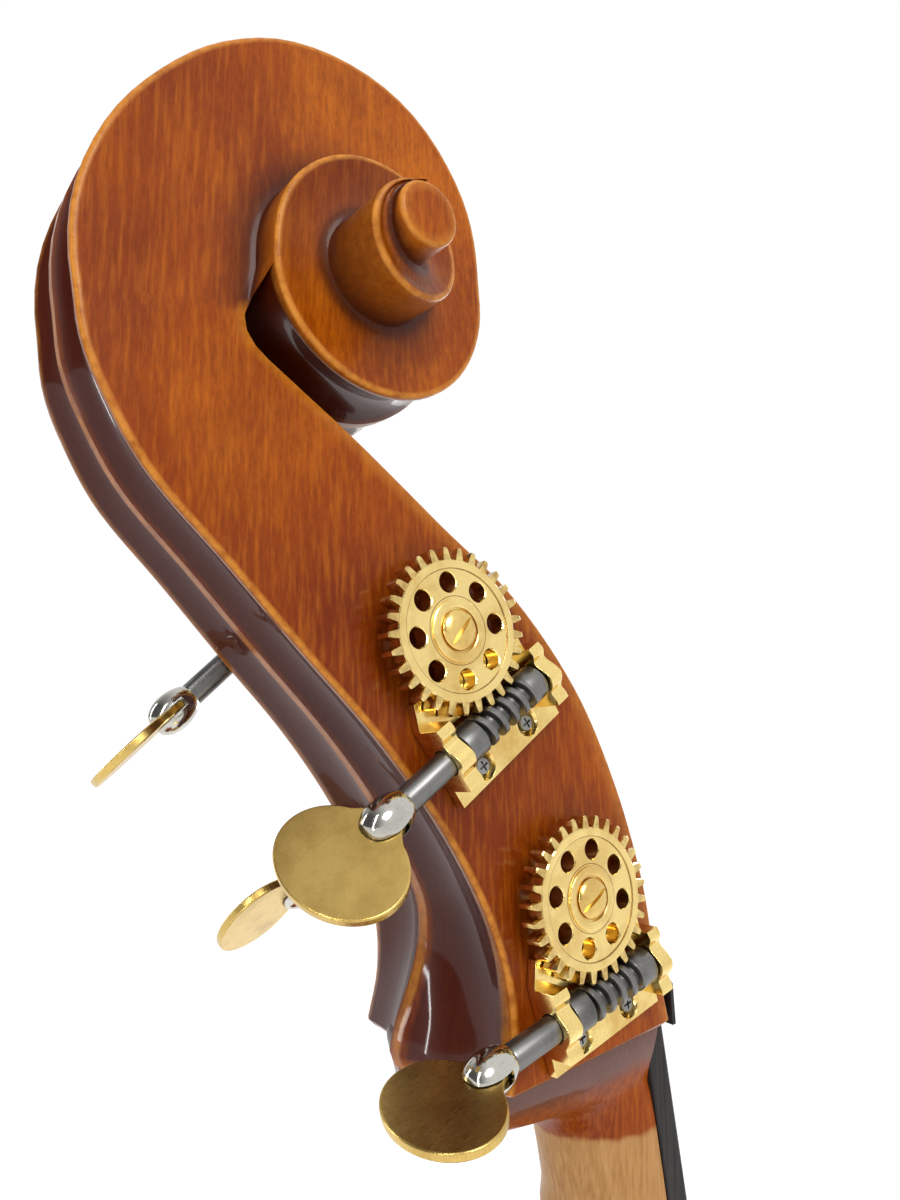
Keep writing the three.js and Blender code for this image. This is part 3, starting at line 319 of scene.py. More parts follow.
def varnished_maple():
    """Orange-brown varnish with fine flecks, golden rubbed edges and a bare neck; painted shade darkens the fluted
    back, the string box and the feet of the volute's walls, painted shade and dirt darken the cheeks round the
    machines, and painted highlights run along the flute ridges.
    """
    s = Shader("varnished_maple", Coat_Roughness=0.07, Coat_IOR=1.5, Specular_IOR_Level=0.1)
    broad = s.noise((14, 9, 7), 4, 0.55)
    cloud = s.noise((38, 26, 20), 4, 0.6, distortion=0.4)
    fleck = s.noise((300, 1100, 330), 2, 0.6)
    grain = s.noise((900, 700, 40), 3, 0.6)
    base = s.ramp(broad, (0.32, (98, 32, 0)), (0.5, (133, 58, 0)), (0.68, (172, 92, 6)))
    base = s.stain(base, cloud, 0.35, 0.7, 0.5, (94, 30, 1))
    base = s.stain(base, fleck, 0.42, 0.62, 0.28, (80, 25, 1))
    base = s.stain(base, grain, 0.45, 0.7, 0.2, (204, 118, 18))
    # painted shade: the fluted back and chin darkened, most in the channels
    base = s.mix(s.math("MULTIPLY", s.painted("flute"), 0.92), base, (48, 4, 1))
    # painted shade: dark in the string box, at the feet of the volute's walls and towards the eye; painted shade and
    # dirt round the machines
    base = s.mix(s.math("MULTIPLY", s.painted("recess"), 0.85), base, (40, 10, 6))
    patchy = s.ramp(s.noise(260, 3, 0.7), (0.3, 0.35), (0.6, 1.0))
    # golden rubbed edges, and painted highlights along the flute ridges and rims
    base = s.mix(s.math("MULTIPLY", s.painted("wear"), patchy), base, (178, 114, 40))
    wood = s.ramp(grain, (0.3, (138, 98, 54)), (0.7, (168, 128, 80)))
    wood = s.stain(wood, fleck, 0.45, 0.65, 0.4, (164, 118, 74))
    wavy = s.math("ADD", s.painted("bare"), s.math("MULTIPLY", s.noise(70, 3), 0.5))
    bare = s.ramp(wavy, (0.7, 0.0), (0.86, 1.0), smooth=True)
    base = s.mix(bare, base, wood)
    s.set(Base_Color=base)
    s.set(Roughness=s.ramp(s.noise(55, 3), (0.3, 0.3), (0.7, 0.42)))
    polish = s.math("MULTIPLY_ADD", s.painted("flute"), 0.34, 0.1)
    s.set(Coat_Weight=s.math("MULTIPLY", polish, s.math("SUBTRACT", 1.0, bare)))
    s.bump(s.mix(0.5, fleck, s.noise(30, 3)), 0.12, 0.0006)
    return s.material


def flamed_maple():
    """Varnished maple with curl running across the grain."""
    s = Shader("flamed_maple", Coat_Weight=0.22, Coat_Roughness=0.1, Specular_IOR_Level=0.15)
    curl = s.noise((9, 9, 110), 3, 0.5, distortion=0.6)
    grain = s.noise((620, 620, 16), 3, 0.6)
    base = s.ramp(curl, (0.36, (104, 38, 4)), (0.5, (148, 68, 6)), (0.64, (182, 98, 18)))
    base = s.stain(base, grain, 0.4, 0.7, 0.35, (108, 42, 6))
    base = s.stain(base, s.noise(3.5, 4), 0.4, 0.7, 0.4, (98, 34, 4))
    s.set(Base_Color=inlaid(s, base))
    s.set(Roughness=s.ramp(s.noise(26, 3), (0.3, 0.28), (0.7, 0.42)))
    s.bump(grain, 0.08, 0.0004)
    return s.material


def inlaid(s, base):
    """Two dark lines with a pale one between them, close to a plate's edge."""
    rim = s.painted("rim")
    for low, high, color in ((6.2, 8.6, (40, 26, 20)), (6.9, 7.9, (206, 164, 108))):
        base = s.mix(s.band(rim, low, high), base, color)
    return base


def varnished_spruce():
    """Straight close grain, darkest along the winter lines."""
    s = Shader("varnished_spruce", Coat_Weight=0.2, Coat_Roughness=0.12, Specular_IOR_Level=0.15)
    lines = s.noise((1150, 0.01, 3.5), 2, 0.6, distortion=0.08)
    base = s.ramp(lines, (0.36, (132, 60, 12)), (0.5, (160, 82, 18)), (0.66, (180, 102, 30)))
    base = s.stain(base, s.noise(4, 4), 0.4, 0.72, 0.45, (116, 46, 8))
    base = s.stain(base, s.noise((90, 90, 14), 3), 0.6, 0.8, 0.25, (84, 32, 8))
    s.set(Base_Color=inlaid(s, base))
    s.set(Roughness=s.ramp(s.noise(30, 3), (0.3, 0.3), (0.7, 0.44)))
    s.bump(lines, 0.1, 0.0003)
    return s.material


def plain_wood(name, dark, light, scale, roughness=0.6, coat=0.0):
    s = Shader(name, Coat_Weight=coat, Coat_Roughness=0.3)
    grain = s.noise(scale, 3, 0.6)
    base = s.ramp(grain, (0.35, dark), (0.68, light))
    base = s.stain(base, s.noise(40, 3), 0.4, 0.75, 0.3, dark)
    s.set(Base_Color=base)
    s.set(Roughness=s.ramp(s.noise(120, 2), (0.3, roughness * 0.85), (0.7, min(roughness * 1.15, 1))))
    s.bump(grain, 0.12, 0.0004)
    return s.material


def metal(name, color, dark, roughness, scratch, local=None, wheel=False):
    """Metal with faint tarnish and fine scratches, which can follow a piece's own painted coordinates."""
    s = Shader(name, Metallic=1.0)
    tarnish = s.noise(60, 4, 0.65)
    where = None
    if local:
        joined = s.node("ShaderNodeCombineXYZ")
        s.link(s.painted("u"), joined.inputs[0])
        s.link(s.painted("v"), joined.inputs[1])
        where = joined.outputs[0]
    fine = s.noise(local or 1800, 2, 0.6, where)
    base = s.mix(s.ramp(tarnish, (0.45, 0.0), (0.75, 0.8)), color, dark)
    base = s.stain(base, fine, 0.4, 0.7, 0.25, dark)
    if wheel:
        # darker bands in the two turned steps, and patchy darkening on the teeth
        radius = s.painted("u")
        for low, high in ((9.0, 9.25), (16.35, 16.6)):
            base = s.mix(s.math("MULTIPLY", s.band(radius, low, high), 0.7), base, (110, 74, 34))
        tips = s.math("GREATER_THAN", radius, 18.6)
        teeth_darkening = s.math("MULTIPLY", tips, s.ramp(s.noise(420, 3), (0.35, 0.05), (0.7, 0.55)))
        base = s.mix(teeth_darkening, base, (124, 84, 36))
    s.set(Base_Color=base)
    s.set(Roughness=s.ramp(fine, (0.3, roughness * 0.75), (0.7, roughness * 1.35)))
    s.bump(s.mix(0.5, fine, s.noise(scratch, 3, 0.6)), 0.08, 0.0003)
    return s.material


def ebony():
    s = Shader("ebony", Coat_Weight=0.04, Coat_Roughness=0.25, Specular_IOR_Level=0.16)
    grain = s.noise((700, 700, 24), 3, 0.6)
    s.set(Base_Color=s.ramp(grain, (0.35, (22, 19, 19)), (0.7, (46, 41, 39))))
    s.set(Roughness=s.ramp(s.noise(200, 3), (0.3, 0.32), (0.7, 0.48)))
    s.bump(grain, 0.1, 0.0003)
    return s.material


def wound_string():
    """Flat steel tape wound round the core."""
    s = Shader("wound_string", Metallic=1.0)
    turns = s.noise((40, 40, 2600), 1, 0.4)
    s.set(Base_Color=s.ramp(turns, (0.35, (92, 92, 94)), (0.65, (168, 166, 162))))
    s.set(Roughness=s.ramp(s.noise(300, 2), (0.3, 0.26), (0.7, 0.42)))
    s.bump(turns, 0.3, 0.0002)
    return s.material


def rubber():
    s = Shader("rubber", Specular_IOR_Level=0.3)
    s.set(Base_Color=s.ramp(s.noise(700, 3), (0.3, (24, 24, 24)), (0.7, (44, 43, 42))))
    s.set(Roughness=s.ramp(s.noise(200, 2), (0.3, 0.7), (0.7, 0.88)))
    s.bump(s.noise(1500, 3), 0.2, 0.0004)
    return s.material


VARNISH = varnished_maple()
FLAMED = flamed_maple()
SPRUCE = varnished_spruce()
BARE_MAPLE = plain_wood("bare_maple", (168, 122, 76), (212, 174, 124), (60, 900, 60))
RAW_SPRUCE = plain_wood("raw_spruce", (190, 150, 100), (226, 196, 150), (420, 60, 8), 0.8)
ROLLER = plain_wood("roller_wood", (34, 24, 20), (70, 50, 40), (300, 60, 60), 0.5, 0.2)
EBONY = ebony()
BRASS = metal("polished_brass", (240, 214, 140), (198, 152, 74), 0.17, (160, 160, 160))
WHEEL_BRASS = metal("wheel_brass", (240, 214, 142), (194, 148, 72), 0.18, (160, 160, 160), (9, 1.5, 1), wheel=True)
SCREW_BRASS = metal("screw_brass", (234, 204, 126), (176, 128, 58), 0.2, (240, 240, 240), (6, 0.4, 1))
KEY_BRASS = metal("key_brass", (208, 178, 104), (156, 122, 60), 0.28, (220, 60, 60), (0.25, 7, 1))
STEEL = metal("worm_steel", (124, 123, 121), (70, 68, 66), 0.34, (300, 300, 300), (8, 0.5, 1))
SCREW_STEEL = metal("screw_steel", (150, 149, 146), (84, 82, 80), 0.3, (300, 300, 300))
NICKEL = metal("nickel", (196, 194, 186), (150, 146, 138), 0.12, (120, 120, 120))
ROD = metal("rod_steel", (176, 176, 174), (120, 118, 114), 0.24, (300, 300, 20))
WIRE = metal("tail_wire_steel", (150, 150, 148), (90, 88, 86), 0.3, (500, 500, 500))
STRING = wound_string()
RUBBER = rubber()

# ---- head: scroll and pegbox

VOLUTE_RADIUS = [(-15, 73), (0, 70.3), (19, 66.4), (40, 63.8), (60, 64.3), (80, 65.8), (100, 65.4), (115, 62.8),
    (137, 55.2), (168, 44.4), (190, 42), (222, 39.5), (255, 36.6), (285, 33.6), (315, 30.8), (345, 28.3),
    (360, 27), (405, 26.4), (450, 26.3), (495, 24.2), (540, 21), (630, 16), (720, 12.7), (810, 8.2)]
VOLUTE_HEIGHT = [(60, 0), (100, 0.3), (180, 4.5), (270, 8.5), (360, 11.4), (450, 15), (540, 20), (630, 28),
    (720, 33), (810, 36)]
VOLUTE_START, VOLUTE_END = -15, 810  # degrees
EYE_RADIUS = 8.2
EYE_TOP = [(EYE_RADIUS, 36, 0.2), (8.05, 36.7, 1), (7.6, 37.15, 1), (6.9, 37.3, 0.4), (5, 37.35, 0), (2, 37.35, 0)]
BACK_EDGE = [(64.3, 0), (60.8, 14), (61.2, 30), (66.5, 48), (77.2, 69.3), (93.1, 92.6), (111.9, 115.2),
    (129.2, 136.3), (146.1, 156.6), (155.2, 174.4), (158.9, 186)]
FRONT_EDGE = [(0, 0), (2.4, 22), (3.6, 42), (10, 71), (21.8, 100.3), (42, 128), (66.2, 148.7), (91.1, 170),
    (108, 183.2), (117.5, 191), (120.3, 197), (119, 203)]
STEP = 5  # degrees between rows on the volute
PEGBOX_ROWS = 60
TURN_ROWS = 360 // STEP
LAST_FLUTED = PEGBOX_ROWS + TURN_ROWS
CHAMFER = 1.2
HALF_FLUTE = [0.04, 0.08, 0.13, 0.2, 0.3, 0.42, 0.56, 0.7, 0.82, 0.9, 0.95, 0.985]
FLUTE_COLUMNS = [-u for u in reversed(HALF_FLUTE)] + [0] + HALF_FLUTE
FLUTE_FADE = 10  # rows over which the flutes run out in the throat


def cheek_half(z):
    """Half of the head's width at a height above the ledge."""
    return LEDGE_HALF - CHEEK_SLOPE * min(z, 200) - 0.045 * max(z - 200, 0)


def volute_point(degrees, radius):
    angle = math.radians(degrees)
    return np.array([EYE[0] + radius * math.cos(angle), EYE[1] + radius * math.sin(angle)])


def flute(u):
    """Depth of the hollowed back, from 0 at an edge and at the middle ridge to 1 in each channel."""
    ridge, rim = 0.1, 0.93
    t = (abs(u) - ridge) / (rim - ridge)
    return math.sin(math.pi * min(max(t, 0), 1) ** 0.85) ** 0.8 if 0 < t < 1 else 0.0


class HeadRow:
    """One cross-section of the head: outer edge, inner edge, height above the cheek, and degrees on the volute."""

    def __init__(self, outer, inner, height=0, degrees=None):
        self.outer, self.inner = np.array(outer), np.array(inner)
        self.height, self.degrees = height, degrees


def head_rows():
    start = volute_point(VOLUTE_START, through(VOLUTE_RADIUS, VOLUTE_START))
    outer = resample(BACK_EDGE + [tuple(start)], PEGBOX_ROWS + 1)
    inner = resample(FRONT_EDGE, PEGBOX_ROWS + 1)
    rows = [HeadRow(outer[k], inner[k]) for k in range(PEGBOX_ROWS)]
    for degrees in range(VOLUTE_START, VOLUTE_END + 1, STEP):
        radius = through(VOLUTE_RADIUS, degrees)
        further = degrees + 360
        inside = through(VOLUTE_RADIUS, further) if further < VOLUTE_END else EYE_RADIUS
        height = through(VOLUTE_HEIGHT, degrees) if degrees > 60 else 0
        foot = inner[-1] if degrees == VOLUTE_START else volute_point(degrees, min(inside, radius))
        rows.append(HeadRow(volute_point(degrees, radius), foot, height, degrees))
    return rows


def side_columns(row):
    """Points of one side face, as (position, height, wear, recess), from the outer edge inwards."""
    span = row.inner - row.outer
    length = max(np.linalg.norm(span), 1e-6)
    step = span / length
    size = min(CHAMFER, length * 0.3)
    h = row.height
    columns = [
        (row.outer, h - size, 0.25, 0),
        (row.outer + step * size * 0.12, h - size * 0.5, 1, 0),
        (row.outer + step * size * 0.5, h - size * 0.12, 1, 0),
        (row.outer + step * size, h, 0.7, 0),
        (row.outer + step * min(size * 1.6, length * 0.4), h, 0, 0),
    ]
    on_cheek = row.degrees is None
    tail = min(CHAMFER if on_cheek else 2.6, length * 0.25)
    begin, end = min(size * 1.6, length * 0.4), length - tail
    sag = 0 if on_cheek else 0.5
    for t in (0.12, 0.28, 0.46, 0.64, 0.8, 0.92):
        along = begin + (end - begin) * t
        # painted shade, deepening towards the foot of the wall between the volute's turns
        dark = 0 if on_cheek else smoothstep((t - 0.72) / 0.28) * 0.55
        columns.append((row.outer + step * along, h - sag * math.sin(math.pi * t), 0, dark))
    if on_cheek:
        columns += [
            (row.inner - step * tail, h, 0.5, 0),
            (row.inner - step * tail * 0.5, h - tail * 0.12, 0.8, 0),
            (row.inner - step * tail * 0.12, h - tail * 0.5, 0.8, 0),
            (row.inner, h - tail, 0.2, 0),
        ]
    else:
        # painted shade at the foot of the wall between the volute's turns
        columns += [
            (row.inner - step * tail, h, 0, 0.75),
            (row.inner - step * tail * 0.45, h + 0.1, 0, 0.95),
            (row.inner - step * tail * 0.12, h + 0.5, 0, 1),
            (row.inner, h + 1.4, 0, 1),
        ]
    return columns


CAVITY_LOW, CAVITY_HIGH = 14, 166
CAVITY_BACK = 14  # wood left behind the string box


def front_columns(row, in_cavity):
    """Positions between the two front edges: rim, pegbox wall and floor."""
    edge = floor = row.inner
    half = cheek_half(edge[1]) - CHAMFER
    rim = cheek_half(edge[1]) - CHEEK_WALL
    if in_cavity:
        span = row.outer - edge
        length = np.linalg.norm(span)
        floor = edge + span * max((length - CAVITY_BACK) / length, 0)
    wall = cheek_half(floor[1]) - CHEEK_WALL
    places = [((half + rim) / 2, edge), (rim, edge)]
    places += [(rim + (wall - rim) * t, edge + (floor - edge) * t) for t in (0.08, 0.3, 0.6, 0.92)]
    places += [(wall - 2, floor), (wall * 0.5, floor)]
    left = [(-x, p) for x, p in places]
    return left + [(0, floor)] + [(x, p) for x, p in reversed(places)]


def add_sides(b, row):
    """Vertices of a row's two side faces, from the outer edge inwards, with painted shade and dirt round the
    machines and painted shade towards the eye.
    """
    both = []
    for side in (-1, 1):
        machines = [(m["y"] - 3, m["z"] - 3) for m in MACHINES.values() if m["side"] == side]
        ids = []
        for place, height, wear, recess in side_columns(row):
            if row.degrees is None:
                # painted shade and dirt round the machines; painted shade deeper in the volute, towards the eye
                near = min(np.hypot(*(place - machine)) for machine in machines)
                recess = max(recess, 0.42 * math.exp(-(near / 27) ** 4))
            elif row.degrees > 240:
                recess = max(recess, 0.32 * smoothstep((row.degrees - 240) / 200))
            ids.append(b.vertex((side * (cheek_half(place[1]) + height), *place), wear=wear, recess=recess))
        both.append(ids)
    return both


def add_back(b, rows, k, sides):
    """Fluted back of a row, between its two sides. The flutes deepen and stand out towards the chin."""
    before, here, after = rows[max(k - 1, 0)].outer, rows[k].outer, rows[k + 1].outer
    tangent = (after - before) / np.linalg.norm(after - before)
    inward = np.array([-tangent[1], tangent[0]])
    half = cheek_half(here[1]) + rows[k].height - CHAMFER
    on_pegbox = k < PEGBOX_ROWS
    fade = 1 - smoothstep((k - (LAST_FLUTED - FLUTE_FADE)) / FLUTE_FADE)
    depth = (4.2 + 2.4 * smoothstep((40 - here[1]) / 40) * on_pegbox) * fade
    bulge = 12.5 * smoothstep((46 - here[1]) / 42) * on_pegbox
    ids = []
    for u in FLUTE_COLUMNS:
        place = here + inward * (depth * flute(u) - bulge * (1 - u * u))
        # painted shade and more coat in the channels, about half as much on the ridges and rims
        shade_and_gloss = 1 if 0.12 < abs(u) < 0.97 else 0.55
        # painted highlight along the middle ridge and the rims
        ridge_highlight = 0.55 if abs(u) < 0.05 else 0.4 if abs(u) > 0.94 else 0
        ids.append(b.vertex((u * half, *place), flute=shade_and_gloss, wear=ridge_highlight))
    return [sides[0][0]] + ids + [sides[1][0]]


def add_front(b, row, sides):
    """Front of a row, down into the string box, between its two sides."""
    inside = CAVITY_LOW < row.inner[1] < CAVITY_HIGH
    # painted shade: dark down in the string box, lighter on the rest of the front
    ids = [b.vertex((x, *place), recess=0.9 if inside and place is not row.inner else 0.3)
        for x, place in front_columns(row, inside)]
    return [sides[0][-1]] + ids + [sides[1][-1]]


def close_throat(b, back, front):
    """Where the fluted back has gone round the volute and meets the front of the pegbox."""
    ratio = (len(front) - 1) / (len(back) - 1)
    for i in range(len(back) - 1):
        a, c = round(i * ratio), round((i + 1) * ratio)
        b.face([back[i], back[i + 1], *front[a:c + 1][::-1]])


def close_ledge(b, ring):
    """Underside of the ledge, drawn in a little towards its middle."""
    middle, shrink, drop = 32, 0.965, -1.2
    lower = []
    for v in ring:
        x, y, _ = b.points[v]
        lower.append(b.vertex((x * shrink, middle + (y - middle) * shrink, drop), wear=0.5))
    b.skin(ring, lower, ring=True)
    centre = b.vertex((0, middle, drop))
    for i in range(len(lower)):
        b.face([lower[i], lower[(i + 1) % len(lower)], centre])


def close_eyes(b, rows, sides):
    first = PEGBOX_ROWS + (450 - VOLUTE_START) // STEP
    last_turn = range(first, first + TURN_ROWS)
    for side, sign in ((0, -1), (1, 1)):
        rings = [[sides[k][side][-1] for k in last_turn]]
        for radius, height, wear in EYE_TOP:
            places = [volute_point(rows[k].degrees, radius) for k in last_turn]
            rings.append([b.vertex((sign * (cheek_half(p[1]) + height), *p), wear=wear) for p in places])
        b.loft(rings, caps=False)
        b.face(rings[-1])


def build_head():
    b = Builder(HEAD, ("wear", "recess", "flute"))
    rows = head_rows()
    sides, backs, fronts = [], [], []
    for k, row in enumerate(rows):
        sides.append(add_sides(b, row))
        if k <= LAST_FLUTED:
            backs.append(add_back(b, rows, k, sides[k]))
        if k <= PEGBOX_ROWS:
            fronts.append(add_front(b, row, sides[k]))
    for k in range(len(rows) - 1):
        for side in (0, 1):
            b.skin(sides[k][side], sides[k + 1][side])
        for strips in (backs, fronts):
            if k + 1 < len(strips):
                b.skin(strips[k], strips[k + 1])
        later = k + TURN_ROWS
        if k >= PEGBOX_ROWS and later + 1 < len(rows):
            # wall between this turn of the volute and the next
            for side in (0, 1):
                b.skin([sides[k][side][-1], sides[k + 1][side][-1]],
                    [sides[later][side][0], sides[later + 1][side][0]])
    close_throat(b, backs[-1], fronts[-1])
    close_ledge(b, backs[0] + sides[0][1][1:-1] + fronts[0][::-1] + sides[0][0][1:-1][::-1])
    close_eyes(b, rows, sides)
    return b


NECK_HALF, BOARD_END_HALF, BOARD_LENGTH = 21.5, 45, 860
NECK_SIDES = 40
HEEL_START, HEEL_LENGTH = -330, 118
CHIN = [(8, 24, 70, 0.42), (2, 28.5, 76, 0.42), (-5, 27.5, 77.6, 0.5), (-12, 25, 77, 0.65), (-17.5, 22.5, 74.5, 0.8),
    (-21.5, 21, 69, 0.92), (-23.4, 20.5, 60, 1), (-24.8, 20.5, 47, 1), (-28, 21, 34, 1), (-35, 21.6, 27.5, 1),
    (-46, 22, 25.5, 1), (-60, 22.3, 24.6, 1)]
HEEL = [(0, 34), (0.15, 39), (0.3, 54), (0.45, 84), (0.6, 128), (0.72, 178), (0.8, 212), (1, 262)]


def neck_half(z):
    return NECK_HALF + (BOARD_END_HALF - NECK_HALF) * -z / BOARD_LENGTH


def neck_rows():
    """Neck sections as (height, half width, depth behind the glue line, squareness)."""
    rows = [tuple(r) for r in resample(CHIN, 60)]
    for z in np.linspace(-66, HEEL_START, 34):
        t = z / HEEL_START
        rows.append((z, neck_half(z) - 0.5, 24.5 + 8.5 * t, 1 - 0.15 * t))
    for t in np.linspace(0.02, 1, 40):
        z = HEEL_START - HEEL_LENGTH * t
        rows.append((z, neck_half(z) - 0.5 - 4 * t, through(HEEL, t), 0.85 - 0.15 * t))
    return rows


def glue_line(z):
    return -2 + CHEEK_SLOPE * z


def heel_stop(y):
    """Height, in the head's frame, of the body's top edge."""
    return (BODY_TOP - HEAD_HEIGHT + y * math.sin(HEAD_LEAN)) / math.cos(HEAD_LEAN)


def build_neck():
    """Neck from the chin to the heel, which ends on the top edge of the body."""
    b = Builder(HEAD, ("flute", "bare"))
    rings = []
    above = [(0, 0)] * (NECK_SIDES + 1)
    for z, half, depth, square in neck_rows():
        on_chin = smoothstep((z + 19) / 12)
        bare = smoothstep((-24 - z) / 26) * smoothstep((z + 345) / 25)
        ring = []
        for i in range(NECK_SIDES + 1):
            angle = math.pi * i / NECK_SIDES
            c, s = math.cos(angle), math.sin(angle)
            x = half * math.copysign(abs(c) ** square, c)
            y = glue_line(z) + depth * max(s, 0) ** square
            hollow = flute(x / 34) * on_chin
            y -= 5.5 * hollow * smoothstep((y - 30) / 30)
            if z < heel_stop(y):
                x, y = above[i]
            above[i] = (x, y)
            # painted shade on the chin, deepest in its hollows
            shade = smoothstep((z + 21) / 8) * (0.6 + 0.4 * hollow)
            ring.append(b.vertex((x, y, max(z, heel_stop(y))), flute=shade, bare=bare))
        rings.append(ring)
    b.loft(rings)
    return b


head = build_head().finish("scroll_and_pegbox", VARNISH, "instrument", slot="varnished_maple")
neck = build_neck().finish("neck_shaft", VARNISH, "instrument", slot="varnished_maple")
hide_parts("neck_and_scroll")

# ---- tuning machines

TEETH = 29
WEB_INNER, HOLE_CIRCLE, WEB_OUTER = 7.4, 12.94, 17.2
HOLES, HOLE_RADIUS, HOLE_SIDES = 8, 2.67, 48
WINDOW = ((-16.2, -31.2), (17.2, -31.2), (17.2, -20.2), (-16.2, -20.2))
PLATE_SCREWS = ((10.5, -35.1), (-9.2, -34.9))
WORM_PITCH = 4.55
WORM_COLUMNS = 40
WORM_SPAN = (-9.9, 10.5)
ROLLER_RADIUS, ROLLER_END = 9.5, -CHEEK_WALL - 0.3
WINDING_TURNS, WINDING_STEPS = 5, 24
STRING_RADIUS = {"e": 1.35, "a": 1.0, "d": 0.75, "g": 0.6}


def carve(piece, *cutters):
    """Cut temporary pieces out of another one."""
    for cutter in cutters:
        modifier = piece.modifiers.new("cut", "BOOLEAN")
        modifier.operation = "DIFFERENCE"
        modifier.solver = "EXACT"
        modifier.object = cutter
    bpy.context.view_layer.update()
    shaped = bpy.data.meshes.new_from_object(piece.evaluated_get(bpy.context.evaluated_depsgraph_get()))
    piece.modifiers.clear()
    piece.data = shaped
    shaped.set_sharp_from_angle(angle=SHARP)
    for cutter in cutters:
        mesh = cutter.data
        bpy.data.objects.remove(cutter)
        bpy.data.meshes.remove(mesh)
    return piece


def cutter(builder):
    """Temporary solid that is used for carving only."""
    mesh = bpy.data.meshes.new("cutter")
    mesh.from_pydata([builder.matrix @ Vector(p) for p in builder.points], [], builder.faces)
    tidy(mesh)
    return new_object("cutter", mesh)


def round_z(s, r, angle):
    return (r * math.cos(angle), r * math.sin(angle), s)


def round_x(s, r, angle):
    return (s, r * math.cos(angle), r * math.sin(angle))


def turned(builder, profile, place=round_z, sides=48, shift=(0, 0, 0)):
    """Lathe a profile of (station, radius) pairs about an axis."""
    rings = []
    for s, r in profile:
        ring = []
        for i in range(sides):
            point = place(s, r, 2 * math.pi * i / sides)
            ring.append(builder.vertex([p + q for p, q in zip(point, shift)], u=r, v=point[1]))
        rings.append(ring)
    builder.loft(rings)


def prism(builder, outline, low, high):
    """Flat-sided piece between two heights."""
    rings = [[builder.vertex((x, y, z), u=x, v=y) for x, y in outline] for z in (low, high)]
    builder.loft(rings)


def tooth_columns():
    """Outline of the wheel as (angle, radius) pairs, nine to a tooth."""
    shape = [(-1.3, 18.9), (-1.15, 19.2), (-0.76, 21.75), (-0.55, 22.05), (0, 22.1), (0.55, 22.05), (0.76, 21.75),
        (1.15, 19.2), (1.3, 18.9)]
    step = 2 * math.pi / TEETH
    return [((i + 0.5) * step - math.pi / 2 + offset / radius, radius)
        for i in range(TEETH) for offset, radius in shape]


def web_point(grow, t):
    """Radius and turn from a hole's middle: on the hole's edge, grown a little, or on the edge of its sector."""
    c, s = math.cos(t), math.sin(t)
    if grow < 1:
        x, y = HOLE_CIRCLE + (HOLE_RADIUS + grow) * c, (HOLE_RADIUS + grow) * s
        return math.hypot(x, y), math.atan2(y, x)
    reach = (math.pi / HOLES * HOLE_CIRCLE) / max(abs(s), 1e-6)
    if abs(c) > 1e-6:
        reach = min(reach, ((WEB_OUTER if c > 0 else WEB_INNER) - HOLE_CIRCLE) / c)
    return HOLE_CIRCLE + reach * c, reach * s / HOLE_CIRCLE


def build_wheel(matrix):
    """Toothed rim, web with eight holes, and the hub with its bush."""
    b = Builder(matrix, ("u", "v"))
    rim = [(16.3, 0, 8.3), (16.4, 0, 8.95), (16.7, 0, 9.12), (18.3, 0, 9.14), (-0.35, 1, 9.14), (0, 1, 8.85),
        (0, 1, 4.1), (-0.35, 1, 3.8), (16.3, 0, 3.8)]
    rings = []
    for radius, relative, z in rim:
        ring = []
        for angle, tip in tooth_columns():
            r = tip + radius if relative else radius
            ring.append(b.vertex((r * math.cos(angle), r * math.sin(angle), z), u=r, v=angle))
        rings.append(ring)
    b.loft(rings + rings[:1], caps=False)
    for i in range(HOLES):
        middle = (i + 0.5) * 2 * math.pi / HOLES
        loops = []
        for grow, drop in ((1, -4.9), (0, -4.9), (0, -0.35), (0.3, 0), (0.55, 0), (1, 0)):
            loop = []
            for k in range(HOLE_SIDES):
                r, angle = web_point(grow, 2 * math.pi * k / HOLE_SIDES)
                angle += middle
                dish = 8.78 - 0.3 * math.sin(math.pi * min(max((r - 8) / 8.6, 0), 1))
                loop.append(b.vertex((r * math.cos(angle), r * math.sin(angle), dish + drop), u=r, v=angle))
            loops.append(loop)
        for lower, upper in zip(loops, loops[1:]):
            b.skin(lower, upper, ring=True)
    turned(b, [(3.9, 8.6), (8.7, 8.6), (9.2, 8.5), (9.42, 8.2), (9.46, 7.4), (9.42, 6.3), (9.2, 6.0), (8.6, 5.9),
        (8.6, 0.5)])
    return b


def build_screw(matrix):
    b = Builder(matrix, ("u", "v"))
    turned(b, [(8.0, 5.5), (9.2, 5.5), (9.5, 5.35), (10.1, 4.4), (10.5, 3.1), (10.75, 1.6), (10.8, 0.3)])
    return b


def build_plate(matrix, side):
    b = Builder(matrix, ("u", "v"))
    outline = [(-21, -39.6), (22.4, -39.6), (22.4, -15.8), (19.9, -9.5), (-21, -9.5)]
    prism(b, [(side * x, y) for x, y in outline], 0.3, 3.3)
    return b


def build_brackets(matrix, side):
    """Two upright bearings with a wavy top."""
    crest = resample([(-34.6, 10.3), (-33, 10.45), (-30.7, 10), (-28.5, 11.8), (-26.2, 12.7), (-24.3, 11.9),
        (-21.2, 9.6), (-18.6, 10.7), (-16.4, 10.2)], 44)
    wall = [(-34.6, 3.1)] + [tuple(p) for p in crest] + [(-16.4, 3.1)]
    b = Builder(matrix, ("u", "v"))
    for start, stop in ((17.4, 22.4), (-21, -16.4)):
        rings = [[b.vertex((side * x, y, z), u=y, v=z) for y, z in wall] for x in (start, stop)]
        b.loft(rings)
    return b


def plate_cutters(matrix, side):
    b = Builder(matrix)
    prism(b, [(side * x, y) for x, y in WINDOW], -1, 6)
    made = [cutter(b)]
    for x, y in PLATE_SCREWS:
        b = Builder(matrix)
        turned(b, [(1.2, 2.6), (1.9, 2.75), (3.4, 3.95)], sides=32, shift=(side * x, y, 0))
        made.append(cutter(b))
    return made


